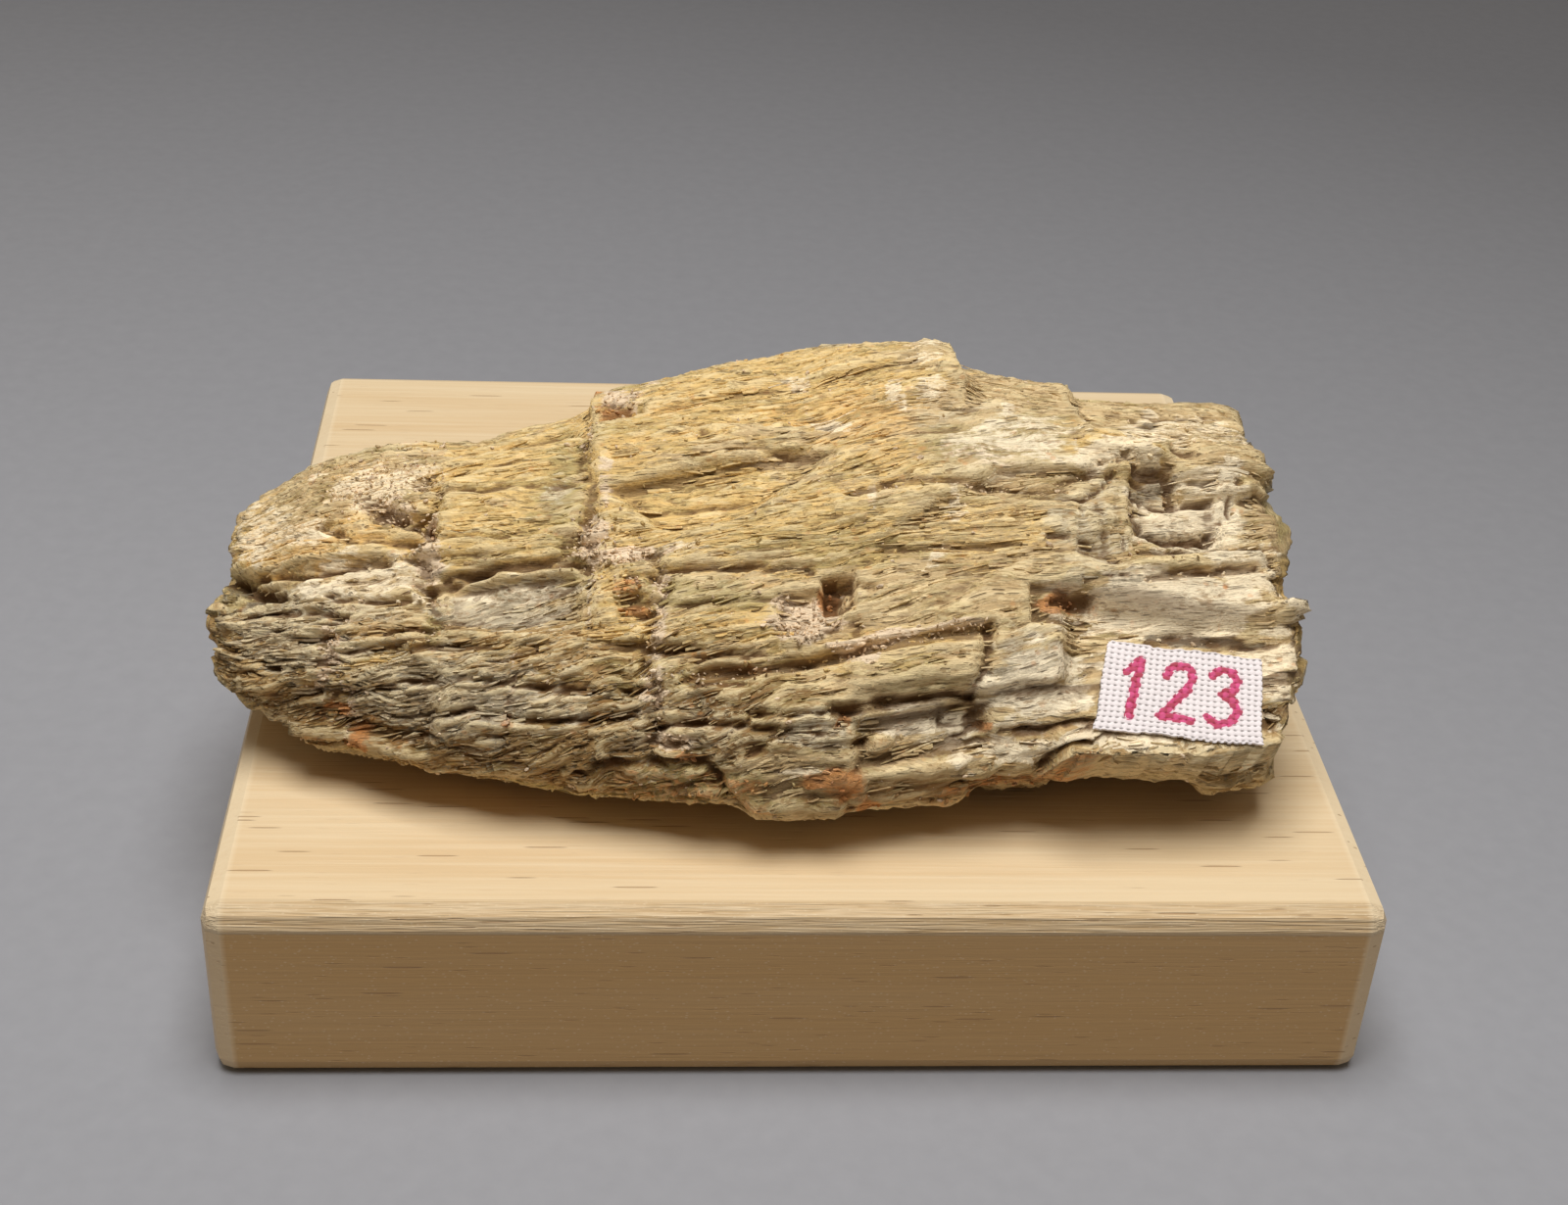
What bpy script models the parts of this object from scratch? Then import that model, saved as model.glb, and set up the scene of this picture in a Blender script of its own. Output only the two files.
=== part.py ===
"""A bismuthinite specimen lying on its pale wooden block, with a small cloth number label.

The stone is one long bundle of grown-together fibres, altered on the outside to yellow and
olive ochre. It is broken off bluntly at both ends, stepped along the fibres where thin plates
have come away, and cut by a few cross cracks. It rests on a small flat spot under its middle.

Frame: the origin is the centre of the block's underside, +X runs along the stone to the
viewer's right, +Y away from the viewer, +Z up. The stone's own numbers are in millimetres.
"""

import math

import bmesh
import bpy
import numpy as np
from mathutils import Matrix, Vector

MM = 0.001

# Wooden block
BLOCK_WIDTH = 120 * MM
BLOCK_DEPTH = 115.5 * MM
BLOCK_HEIGHT = 21.6 * MM
BLOCK_CHAMFER = 2 * MM

# Clearance between pieces that touch
GAP = 0.3 * MM

# The stone's girth at eight places along it, in millimetres:
# place along the length, half depth, middle in depth, height, lift of the underside
GIRTHS = np.array([
    (-62, 15.5, -15.5, 15.0, 2.8),
    (-50, 20.5, -17.0, 21.5, 2.2),
    (-34, 24.5, -19.0, 26.0, 1.2),
    (-18, 29.0, -18.0, 30.0, 0.6),
    (0, 34.0, -15.5, 33.0, 0.0),
    (14, 33.0, -15.0, 34.5, 0.6),
    (30, 28.0, -18.0, 32.5, 1.8),
    (54, 24.5, -17.5, 27.0, 2.3),
], float)

# Cross sections for a half depth of 1 and a height of 1, from the low front edge up over
# the top and down the back: a leaning front, a domed top and a full, rounder back
SECTION_LEFT = np.array([
    (-0.74, 0.10), (-0.98, 0.30), (-0.84, 0.62), (-0.47, 0.87), (0.00, 0.99), (0.30, 0.98),
    (0.70, 0.80), (0.96, 0.46), (0.76, 0.14), (0.28, 0.00), (-0.33, 0.00),
])
SECTION_MIDDLE = np.array([
    (-0.79, 0.09), (-0.96, 0.24), (-0.86, 0.47), (-0.47, 0.76), (0.00, 0.95), (0.30, 1.00),
    (0.70, 0.84), (0.97, 0.47), (0.82, 0.13), (0.30, 0.00), (-0.35, 0.00),
])
SECTION_RIGHT = np.array([
    (-0.85, 0.03), (-0.97, 0.22), (-0.84, 0.45), (-0.47, 0.72), (0.00, 0.92), (0.34, 0.97),
    (0.74, 0.84), (0.98, 0.48), (0.86, 0.12), (0.30, 0.00), (-0.35, 0.01),
])
LEFT_SECTION_SPAN = (-60, -20)
RIGHT_SECTION_SPAN = (10, 45)
SECTION_CORE = 0.48
SECTION_POINTS = 1200

# Blunt ends: how far each end's rounding reaches in, and how square it is
LEFT_TIP = -62.8
RIGHT_TIP = 52.8
END_REACH = 3.6
END_SQUARENESS = 5.0
END_RADIUS = 20.0

# Parts of the ends that stop short of the tips: end (-1 left, 1 right), how far short, how far
# in that reaches, and the girth shares it covers, from a quarter below the low front edge
END_SETBACKS = [
    (-1, 1.0, 12, (0.16, 0.19, 0.60, 0.75)),
    (-1, 4.0, 13, (-0.25, -0.12, 0.045, 0.085)),
    (1, 2.4, 10, (-0.25, -0.12, 0.030, 0.075)),
]

# The girth's length for each millimetre of half depth plus half the height
GIRTH_RATIO = 3.16

# How far apart two places are taken, in t and girth share, to find the form's slope
SLOPE_STEP = 0.002

# Hollows (positive depth) and raised plates (negative), in millimetres, placed by the
# distance along the stone and by the share of the girth, from the low front edge upwards:
# along, girth share, half length, half width, depth
HOLLOWS = [
    (-30.0, 0.170, 8.2, 3.4, 1.5),
    (-42.0, 0.268, 3.8, 2.2, 1.3),
    (-17.5, 0.158, 2.0, 2.0, 1.0),
    (0.5, 0.148, 3.8, 2.8, 1.2),
    (3.4, 0.160, 1.9, 2.4, 2.2),
    (26.5, 0.142, 3.8, 2.4, 1.3),
    (41.0, 0.243, 5.6, 5.4, 1.7),
    (12.0, 0.066, 7.8, 2.5, 1.8),
    (-19.5, 0.372, 3.2, 1.8, 1.5),
    (11.0, 0.104, 7.6, 2.0, -1.0),
    (-17.0, 0.028, 7.5, 1.8, -0.5),
    (-1.0, 0.030, 5.5, 2.4, -0.7),
    (35.5, 0.302, 6.0, 2.2, -0.8),
    (47.5, 0.315, 5.0, 3.4, -0.9),
    (51.8, 0.142, 2.4, 1.2, -1.5),
    (-12.0, 0.620, 16.0, 4.5, 1.4),
    (22.0, 0.660, 11.0, 4.0, 1.2),
    (-38.0, 0.600, 9.0, 3.0, 0.9),
    (6.0, 0.735, 14.0, 3.4, -0.9),
    (34.0, 0.560, 9.0, 3.2, -0.8),
    (34.0, 0.995, 8.5, 5.0, 1.8),
    (-9.5, 0.995, 4.5, 3.5, 1.0),
    (-57.0, 0.010, 6.0, 4.0, 1.8),
]
HOLLOW_EDGE = 0.28

# Cracks and grooves: width, depth and the points they run through, as (along, girth share)
CRACKS = [
    (1.6, 1.0, [(-22.5, 0.360), (-22.4, 0.270), (-21.8, 0.190)]),
    (1.9, 1.1, [(-39.2, 0.330), (-39.6, 0.230), (-38.8, 0.140)]),
    (1.5, 1.1, [(-15.8, 0.200), (-16.1, 0.130), (-15.4, 0.055)]),
    (1.4, 0.6, [(-48.9, 0.146), (-48.7, 0.090), (-46.6, 0.034)]),
    (1.3, 1.3, [(-12.2, 0.106), (5.7, 0.119), (18.3, 0.124)]),
    (1.0, 0.8, [(4.3, 0.231), (26.6, 0.238), (35.3, 0.286)]),
    (1.1, 1.0, [(37.0, 0.164), (49.3, 0.184)]),
    (1.4, 1.4, [(35.3, 0.119), (45.3, 0.122)]),
    (1.6, 1.1, [(-30.0, 0.500), (-29.0, 0.620), (-31.0, 0.760)]),
    (1.5, 1.0, [(8.0, 0.520), (10.0, 0.630), (9.0, 0.780)]),
    (1.4, 1.1, [(33.0, 0.480), (31.5, 0.600), (34.0, 0.740)]),
    (1.3, 1.2, [(-48.0, 0.560), (-10.0, 0.550), (14.0, 0.580)]),
    (1.3, 1.0, [(-20.0, 0.690), (20.0, 0.700), (44.0, 0.680)]),
]

# Steps across the fibres on the top: place along, girth shares between which the step shows,
# drop, and how far the lowered side runs before it is level again (negative: to the left)
STEPS = [
    (-22.5, 0.29, 0.66, 1.6, -18.0),
    (18.2, 0.33, 0.66, 2.8, 26.0),
    (31.5, 0.33, 0.66, 1.9, 40.0),
]
STEP_EDGE = 0.9
STEP_FADE = 0.03

# Broad lumps, and flat plates broken along and across the fibres
LUMP_HEIGHT = 0.9
LUMP_SIZE = (17.0, 8.0, 8.0)
LUMP_SEED = 3
PLATE_HEIGHT = 1.1
PLATE_LENGTH = 19.0
PLATES_AROUND = 22
PLATE_EDGE = 0.16
PLATE_JITTER = (0.42, 0.36)
PLATE_SEED = 11

# Broken ends: bundles of fibres that end a little further in or out
BREAK_HEIGHT = 1.8
BREAK_SIZE = (40.0, 7.0, 4.5)
BREAK_SQUARENESS = 4
BREAK_REACH = 7.0
BREAK_SEED = 5

# How the fibres turn upwards to the right on the upper front, for each millimetre along
FIBRE_SWING = 0.0016
FIBRE_SWING_SPAN = (0.09, 0.19, 0.44, 0.58)

# Cloth number label, in millimetres: its middle, the way its facet faces, its turn in the facet
LABEL_WIDTH = 17.0
LABEL_HEIGHT = 10.0
LABEL_THICKNESS = 0.5
LABEL_MIDDLE = (38.9, -41.1, 37.3)
LABEL_AZIMUTH = math.radians(6)
LABEL_RISE = math.radians(60)
LABEL_TURN = math.radians(-10)
LABEL_MARGIN = 2.6
LABEL_REACH = 6.0

# How finely the stone is cut: round the girth and along the length
STONE_SEGMENTS_AROUND = 96
STONE_SEGMENTS_ALONG = 47


def smooth(t):
    """A soft ramp from 0 to 1."""
    t = np.clip(t, 0, 1)
    return t * t * (3 - 2 * t)


def window(value, limits):
    """1 between the two inner limits, fading to 0 at the two outer ones."""
    a, b, c, d = limits
    return smooth((value - a) / (b - a)) * (1 - smooth((value - c) / (d - c)))


def corner_value(i, j, k, seed):
    """A repeatable number from -1 to 1 for each corner of a lattice of whole numbers."""
    n = (i * 73856093) ^ (j * 19349663) ^ (k * 83492791) ^ (seed * 2654435761)
    n = (n & 0x7FFFFFFF) * 1103515245 + 12345
    n = ((n >> 9) ^ n) & 0xFFFF
    return n / 32767.5 - 1


def noise(points, seed):
    """Smooth noise: corner values of the lattice cell around each point, softly blended."""
    cell = np.floor(points).astype(np.int64)
    fx, fy, fz = smooth(points - cell).T
    total = 0
    for di, wx in ((0, 1 - fx), (1, fx)):
        for dj, wy in ((0, 1 - fy), (1, fy)):
            for dk, wz in ((0, 1 - fz), (1, fz)):
                value = corner_value(cell[:, 0] + di, cell[:, 1] + dj, cell[:, 2] + dk, seed)
                total = total + wx * wy * wz * value
    return total


def plates(x, girth, length, around, seed, edge):
    """Flat plates: each point takes the height of its nearest of a set of scattered centres.

    The centres sit in bricks of the given length, with a whole number of bricks around the
    girth. Near a border the height blends into the neighbour's over the edge width.
    """
    u = x / length
    v = girth * around
    iu = np.floor(u).astype(np.int64)
    iv = np.floor(v).astype(np.int64)
    weight = 0
    height = 0
    for di in (-1, 0, 1):
        for dj in (-1, 0, 1):
            row = (iv + dj) % around
            cu = iu + di + 0.5 + PLATE_JITTER[0] * corner_value(iu + di, row, row * 0, seed)
            cv = iv + dj + 0.5 + PLATE_JITTER[1] * corner_value(iu + di, row, row * 0 + 1, seed)
            distance = np.hypot(u - cu, v - cv)
            w = np.exp(-distance / edge * 4)
            weight = weight + w
            height = height + w * corner_value(iu + di, row, row * 0 + 2, seed)
    return height / weight


def along_stations(x):
    """Half depth, middle, height and lift at x: a smooth curve through the girths."""
    places = GIRTHS[:, 0]
    values = GIRTHS[:, 1:]
    slopes = np.gradient(values, places, axis=0)
    i = np.clip(np.searchsorted(places, x) - 1, 0, len(places) - 2)
    span = (places[i + 1] - places[i])[:, None]
    t = np.clip((x - places[i])[:, None] / span, 0, 1)
    start = values[i] * (2 * t**3 - 3 * t**2 + 1) + span * slopes[i] * (t**3 - 2 * t**2 + t)
    end = values[i + 1] * (3 * t**2 - 2 * t**3) + span * slopes[i + 1] * (t**3 - t**2)
    return (start + end).T


def closed_section(points):
    """A section's corner points as a smooth closed curve, evenly spaced along its length."""
    count = len(points)
    k = np.linspace(0, count, SECTION_POINTS, endpoint=False)
    i = k.astype(int)
    t = (k - i)[:, None]
    p, q, r, s = (points[(i + step) % count] for step in (-1, 0, 1, 2))
    bend = 2 * p - 5 * q + 4 * r - s
    curve = 0.5 * (2 * q + (r - p) * t + bend * t**2 + (3 * q - p - 3 * r + s) * t**3)
    loop = np.vstack([curve, curve[:1]])
    steps = np.diff(loop, axis=0) * (1.0, 0.5)
    length = np.concatenate([[0], np.cumsum(np.hypot(*steps.T))])
    even = np.linspace(0, length[-1], SECTION_POINTS, endpoint=False)
    return np.stack([np.interp(even, length, loop[:, axis]) for axis in (0, 1)], -1)


SECTIONS = [closed_section(points) for points in (SECTION_LEFT, SECTION_MIDDLE, SECTION_RIGHT)]


def section_at(x, girth):
    """Depth and height of the unit section at x, blended from the three sections."""
    left = 1 - smooth((x - LEFT_SECTION_SPAN[0]) / np.ptp(LEFT_SECTION_SPAN))
    right = smooth((x - RIGHT_SECTION_SPAN[0]) / np.ptp(RIGHT_SECTION_SPAN))
    shares = (left, 1 - left - right, right)
    place = (girth % 1) * SECTION_POINTS
    steps = np.arange(SECTION_POINTS + 1)
    depth = 0
    height = 0
    for share, section in zip(shares, SECTIONS):
        loop = np.vstack([section, section[:1]])
        depth = depth + share * np.interp(place, steps, loop[:, 0])
        height = height + share * np.interp(place, steps, loop[:, 1])
    return depth, height


def meridian(t):
    """Place along the stone and size of the section for t from 0 (left tip) to 1 (right tip).

    Each end is a quarter of a superellipse; t follows the length of the whole line.
    """
    angle = np.linspace(0, math.pi / 2, 120)
    power = 2 / END_SQUARENESS
    size = np.sin(angle) ** power
    inward = END_REACH * (1 - np.cos(angle) ** power)
    x = np.concatenate([LEFT_TIP + inward, (RIGHT_TIP - inward)[::-1]])
    size = np.concatenate([size, size[::-1]])
    length = np.concatenate([[0], np.cumsum(np.hypot(np.diff(x), END_RADIUS * np.diff(size)))])
    return np.interp(t * length[-1], length, x), np.interp(t * length[-1], length, size)


def end_setback(x, girth):
    """How far along the stone a point moves because its part of an end stops short."""
    turned = (girth + 0.25) % 1 - 0.25
    setback = 0
    for end, back, reach, span in END_SETBACKS:
        from_tip = x - LEFT_TIP if end < 0 else RIGHT_TIP - x
        setback = setback - end * back * window(turned, span) * (1 - smooth(from_tip / reach))
    return setback


def envelope(t, girth):
    """The stone's smooth form: the section at each place, scaled by its girth there."""
    x, size = meridian(t)
    half_depth, middle, height, lift = along_stations(x)
    depth_share, height_share = section_at(x, girth)
    y = middle + half_depth * depth_share * size
    z = lift + height * (SECTION_CORE + (height_share - SECTION_CORE) * size)
    floor = (BLOCK_HEIGHT + GAP) / MM
    return np.stack([x + end_setback(x, girth), y, z + floor], -1)


def outward(t, girth):
    """The direction that faces out of the envelope, from its slopes along and around."""
    step = SLOPE_STEP
    along = envelope(np.clip(t + step, 0, 1), girth) - envelope(np.clip(t - step, 0, 1), girth)
    around = envelope(t, girth + step) - envelope(t, girth - step)
    normal = np.cross(along, around)
    size = np.linalg.norm(normal, axis=1, keepdims=True)
    tip = np.stack([np.sign(t - 0.5), 0 * t, 0 * t], -1)
    return np.where(size > 1e-6, normal / np.maximum(size, 1e-9), tip)


def local_girth(x):
    """The length round the stone at x, in millimetres."""
    half_depth, _, height, _ = along_stations(x)
    return GIRTH_RATIO * (half_depth + height / 2)


def girth_gap(girth, centre):
    """The signed share of the girth from a centre, the short way round."""
    return (girth - centre + 0.5) % 1 - 0.5


def hollow_relief(x, girth):
    """The hollows and raised plates: rounded boxes sunk into or lifted off the surface."""
    around = local_girth(x)
    relief = 0
    for along, share, half_length, half_width, depth in HOLLOWS:
        u = np.abs(x - along) / half_length
        v = np.abs(girth_gap(girth, share)) * around / half_width
        relief = relief - depth * smooth((1 - u) / HOLLOW_EDGE) * smooth((1 - v) / HOLLOW_EDGE)
    return relief


def crack_distance(x, girth, points):
    """The distance in millimetres from a crack's line."""
    around = local_girth(x)
    nearest = np.full(len(x), np.inf)
    for (x0, g0), (x1, g1) in zip(points, points[1:]):
        u = x - x0
        v = girth_gap(girth, g0) * around
        run = x1 - x0
        rise = (g1 - g0) * around
        t = np.clip((u * run + v * rise) / (run * run + rise * rise), 0, 1)
        nearest = np.minimum(nearest, np.hypot(u - t * run, v - t * rise))
    return nearest


def crack_relief(x, girth):
    """The cracks: soft-sided grooves, deepest along their lines."""
    relief = 0
    for width, depth, points in CRACKS:
        distance = crack_distance(x, girth, points)
        relief = relief - depth * np.exp(-(distance / (0.6 * width)) ** 2)
    return relief


def step_relief(x, girth):
    """The steps across the top: a sharp drop that slowly comes level again."""
    relief = 0
    for place, low, high, drop, run in STEPS:
        beyond = (x - place) * np.sign(run)
        shown = window(girth % 1, (low - STEP_FADE, low + STEP_FADE, high - STEP_FADE, high + STEP_FADE))
        fall = smooth(beyond / STEP_EDGE + 0.5) * (1 - smooth(beyond / abs(run)))
        relief = relief - drop * shown * fall
    return relief


def fibre_share(x, girth):
    """The girth share of the fibre through a point: fibres rise to the right on the upper front."""
    swing = FIBRE_SWING * np.maximum(x, 0) * window(girth % 1, FIBRE_SWING_SPAN)
    return girth - swing


def stone_surface(t, girth):
    """The stone's surface: the envelope moved in or out by lumps, plates, steps and hollows."""
    base = envelope(t, girth)
    x = base[:, 0]
    lumps = LUMP_HEIGHT * noise(base / LUMP_SIZE, LUMP_SEED)
    fibre = fibre_share(x, girth)
    flats = PLATE_HEIGHT * plates(x, fibre, PLATE_LENGTH, PLATES_AROUND, PLATE_SEED, PLATE_EDGE)
    relief = lumps + flats + hollow_relief(x, girth) + crack_relief(x, girth)
    relief = relief + step_relief(x, girth)
    _, size = meridian(t)
    side = size**BREAK_SQUARENESS
    surface = base + outward(t, girth) * (relief * side)[:, None]
    broken = BREAK_HEIGHT * noise(base / BREAK_SIZE, BREAK_SEED)
    from_end = np.minimum(x - LEFT_TIP, RIGHT_TIP - x)
    surface[:, 0] += np.sign(t - 0.5) * broken * (1 - smooth(from_end / BREAK_REACH))
    surface = press_label_facet(surface)
    surface[:, 2] = np.maximum(surface[:, 2], (BLOCK_HEIGHT + GAP) / MM)
    return surface


def label_axes():
    """The label facet's own directions: along the label, up the label, and out of the facet."""
    flat = math.cos(LABEL_RISE)
    out = np.array([math.sin(LABEL_AZIMUTH) * flat, -math.cos(LABEL_AZIMUTH) * flat,
                    math.sin(LABEL_RISE)])
    level = np.array([math.cos(LABEL_AZIMUTH), math.sin(LABEL_AZIMUTH), 0.0])
    rise = np.cross(out, level)
    across = math.cos(LABEL_TURN) * level + math.sin(LABEL_TURN) * rise
    return across, np.cross(out, across), out


def press_label_facet(surface):
    """Flatten the stone under the label, fading back to its own shape past the label's edges."""
    across, upward, out = label_axes()
    local = surface - np.array(LABEL_MIDDLE)
    u = np.abs(local @ across) - LABEL_WIDTH / 2
    v = np.abs(local @ upward) - LABEL_HEIGHT / 2
    proud = local @ out
    past = np.maximum(np.maximum(u, v), 0)
    share = 1 - smooth((past - LABEL_MARGIN) / LABEL_MARGIN)
    share = share * (np.abs(proud) < LABEL_REACH)
    return surface - (proud * share)[:, None] * out


def principled(name, colour, roughness, metallic=0.0):
    """A plain material with the piece's own colour."""
    material = bpy.data.materials.new(name)
    material.use_nodes = True
    shader = material.node_tree.nodes["Principled BSDF"]
    shader.inputs["Base Color"].default_value = (*colour, 1)
    shader.inputs["Roughness"].default_value = roughness
    shader.inputs["Metallic"].default_value = metallic
    return material


def add_object(name, mesh, material, collection):
    """Put a mesh into the scene as a named object."""
    piece = bpy.data.objects.new(name, mesh)
    mesh.materials.append(material)
    collection.objects.link(piece)
    return piece


def build_stone(collection):
    """The stone: a ball whose poles are the stone's two ends, each vertex moved to its place."""
    mesh = bpy.data.meshes.new("specimen")
    ball = bmesh.new()
    bmesh.ops.create_uvsphere(ball, u_segments=STONE_SEGMENTS_AROUND,
                              v_segments=STONE_SEGMENTS_ALONG, radius=1)
    points = np.array([vertex.co for vertex in ball.verts])
    t = np.arccos(np.clip(-points[:, 2], -1, 1)) / math.pi
    girth = np.arctan2(points[:, 1], points[:, 0]) / (2 * math.pi) % 1
    for vertex, place in zip(ball.verts, stone_surface(t, girth) * MM):
        vertex.co = place
    bmesh.ops.triangulate(ball, faces=ball.faces)
    bmesh.ops.recalc_face_normals(ball, faces=ball.faces)
    ball.to_mesh(mesh)
    ball.free()
    mesh.shade_smooth()
    mesh.set_sharp_from_angle(angle=math.radians(38))
    stone = principled("ochre_fibrous_stone", (0.42, 0.30, 0.13), 0.85)
    return add_object("specimen", mesh, stone, collection)


def build_label(collection):
    """The cloth label: a small flat sheet given its thickness, lying on its facet."""
    mesh = bpy.data.meshes.new("number_label")
    sheet = bmesh.new()
    bmesh.ops.create_grid(sheet, x_segments=8, y_segments=4, size=0.5)
    bmesh.ops.scale(sheet, vec=(LABEL_WIDTH * MM, LABEL_HEIGHT * MM, 1), verts=sheet.verts)
    sheet.to_mesh(mesh)
    sheet.free()
    cloth = principled("white_woven_cloth", (0.82, 0.81, 0.78), 0.9)
    label = add_object("number_label", mesh, cloth, collection)
    thickness = label.modifiers.new("thickness", "SOLIDIFY")
    thickness.thickness = LABEL_THICKNESS * MM
    thickness.offset = 1
    across, upward, out = label_axes()
    label.matrix_world = Matrix.Translation(
        Vector(LABEL_MIDDLE) * MM + Vector(out) * GAP
    ) @ Matrix((across, upward, out)).transposed().to_4x4()
    return label


def build_block(collection):
    """The wooden block: a cuboid with a small chamfer on every edge."""
    bpy.ops.mesh.primitive_cube_add(size=1, location=(0, 0, BLOCK_HEIGHT / 2))
    block = bpy.context.object
    block.name = "wooden_block"
    block.data.name = "wooden_block"
    block.scale = (BLOCK_WIDTH, BLOCK_DEPTH, BLOCK_HEIGHT)
    bpy.ops.object.transform_apply(location=False, rotation=False, scale=True)
    chamfer = block.modifiers.new("chamfer", "BEVEL")
    chamfer.width = BLOCK_CHAMFER
    chamfer.segments = 2
    block.data.materials.append(principled("pale_beech", (0.72, 0.55, 0.35), 0.45))
    for owner in block.users_collection:
        owner.objects.unlink(block)
    collection.objects.link(block)
    return block


def main():
    """Clear the scene, then build the three pieces in a collection of their own."""
    for old in list(bpy.data.objects):
        bpy.data.objects.remove(old, do_unlink=True)
    collection = bpy.data.collections.new("bismuthinite_specimen")
    bpy.context.scene.collection.children.link(collection)
    build_block(collection)
    build_stone(collection)
    build_label(collection)


main()
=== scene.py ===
# %% [markdown]
# # A bismuthinite specimen on its block
#
# The object is one long stone: a bundle of mineral fibres, altered on the outside to yellow and
# olive ochre, with pink clay in its cracks. It lies on a pale wooden block and carries a small
# label of white woven cloth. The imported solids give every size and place. This script gives the
# stone its fine surface, makes the cloth, and works out each finish with shader nodes.

# %% Load the frame
import math

import bpy
import numpy as np
from mathutils import Matrix, Vector


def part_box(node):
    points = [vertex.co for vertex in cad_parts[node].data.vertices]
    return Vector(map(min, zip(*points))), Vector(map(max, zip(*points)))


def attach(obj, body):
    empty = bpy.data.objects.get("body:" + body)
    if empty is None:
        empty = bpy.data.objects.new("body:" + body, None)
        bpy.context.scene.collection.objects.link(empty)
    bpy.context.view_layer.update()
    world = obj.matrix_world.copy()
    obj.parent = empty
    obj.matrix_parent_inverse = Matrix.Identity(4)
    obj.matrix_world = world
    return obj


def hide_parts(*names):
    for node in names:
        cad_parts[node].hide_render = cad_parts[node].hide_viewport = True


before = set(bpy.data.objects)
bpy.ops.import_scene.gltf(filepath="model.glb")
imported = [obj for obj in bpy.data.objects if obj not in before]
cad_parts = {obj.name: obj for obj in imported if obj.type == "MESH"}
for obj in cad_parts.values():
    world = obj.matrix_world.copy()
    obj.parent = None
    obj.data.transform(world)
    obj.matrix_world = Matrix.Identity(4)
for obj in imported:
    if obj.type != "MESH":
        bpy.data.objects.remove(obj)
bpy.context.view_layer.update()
print("solids:", sorted(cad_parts))

# %% [markdown]
# ## Small tools for shapes
#
# A stone could be sculpted by hand, but a sculpted mesh can't be read or changed later. Here each
# form is a formula on whole arrays of points instead. The tools are a soft ramp, smooth noise, and
# "plates": flat bricks of random height, which is how a fibrous mineral splits.

# %% Ramps and noise
MM = 0.001


def smooth(t):
    """A soft ramp: 3 t squared minus 2 t cubed, with t held between 0 and 1."""
    t = np.clip(t, 0, 1)
    return t * t * (3 - 2 * t)


def window(value, limits):
    """1 between the two inner limits, fading to 0 at the two outer ones."""
    a, b, c, d = limits
    return smooth((value - a) / (b - a)) * (1 - smooth((value - c) / (d - c)))


def corner_value(i, j, k, seed):
    """A repeatable number from -1 to 1 for each corner of a lattice of whole numbers."""
    n = (i * 73856093) ^ (j * 19349663) ^ (k * 83492791) ^ (seed * 2654435761)
    n = (n & 0x7FFFFFFF) * 1103515245 + 12345
    n = ((n >> 9) ^ n) & 0xFFFF
    return n / 32767.5 - 1


def noise(points, seed):
    """Smooth noise: corner values of the lattice cell around each point, softly blended."""
    cell = np.floor(points).astype(np.int64)
    fx, fy, fz = smooth(points - cell).T
    total = 0
    for di, wx in ((0, 1 - fx), (1, fx)):
        for dj, wy in ((0, 1 - fy), (1, fy)):
            for dk, wz in ((0, 1 - fz), (1, fz)):
                value = corner_value(cell[:, 0] + di, cell[:, 1] + dj, cell[:, 2] + dk, seed)
                total = total + wx * wy * wz * value
    return total


def on_plane(u, v):
    """Two lists of numbers as places for the noise, all on one plane."""
    return np.stack([u, v, 0 * u], -1)


# %% Plates and slivers
BRICK_JITTER_ALONG = 0.42
BRICK_JITTER_ROUND = 0.36
BRICK_TILT_ALONG = 0.6
BRICK_BLEND = 4


def plates(x, girth, length, around, seed, edge, tilt=0.0):
    """Flat plates: each point takes the height of its nearest of a set of scattered centres.

    The centres sit in bricks of the given length, with a whole number of bricks around the
    girth. Near a border the height blends into the neighbour's over the edge width. A tilt
    slopes every brick down its width and its length, as slivers overlap like shingles.
    """
    u = x / length
    v = girth * around
    iu = np.floor(u).astype(np.int64)
    iv = np.floor(v).astype(np.int64)
    weight = 0
    height = 0
    for di in (-1, 0, 1):
        for dj in (-1, 0, 1):
            row = (iv + dj) % around
            along_jitter, round_jitter, own_height, own_tilt = (
                corner_value(iu + di, row, row * 0 + k, seed) for k in range(4))
            cu = iu + di + 0.5 + BRICK_JITTER_ALONG * along_jitter
            cv = iv + dj + 0.5 + BRICK_JITTER_ROUND * round_jitter
            distance = np.hypot(u - cu, v - cv)
            w = np.exp(-distance / edge * BRICK_BLEND)
            weight = weight + w
            slope = tilt * ((v - cv) + BRICK_TILT_ALONG * (u - cu) * own_tilt)
            height = height + w * (own_height + slope)
    return height / weight


print("noise at one corner:", float(noise(np.array([[0.5, 0.5, 0.5]]), 1)[0]))

# %% [markdown]
# ## The camera
#
# The photograph was taken from above the block's front edge, looking down by about a third of a
# right angle. The block's corners fix the place, the turn and the lens. The camera comes first,
# because details that were picked in the photograph are carried onto the stone through it.

# %% Place the camera
PICTURE = (1600, 1230)
LENS = 52.77
SENSOR = 36.0
CAMERA_PLACE = (-0.018841, -0.232454, 0.171887)
CAMERA_YAW = math.radians(-4.833)
CAMERA_DOWN = math.radians(32.803)
CAMERA_ROLL = math.radians(-3.289)

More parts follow.
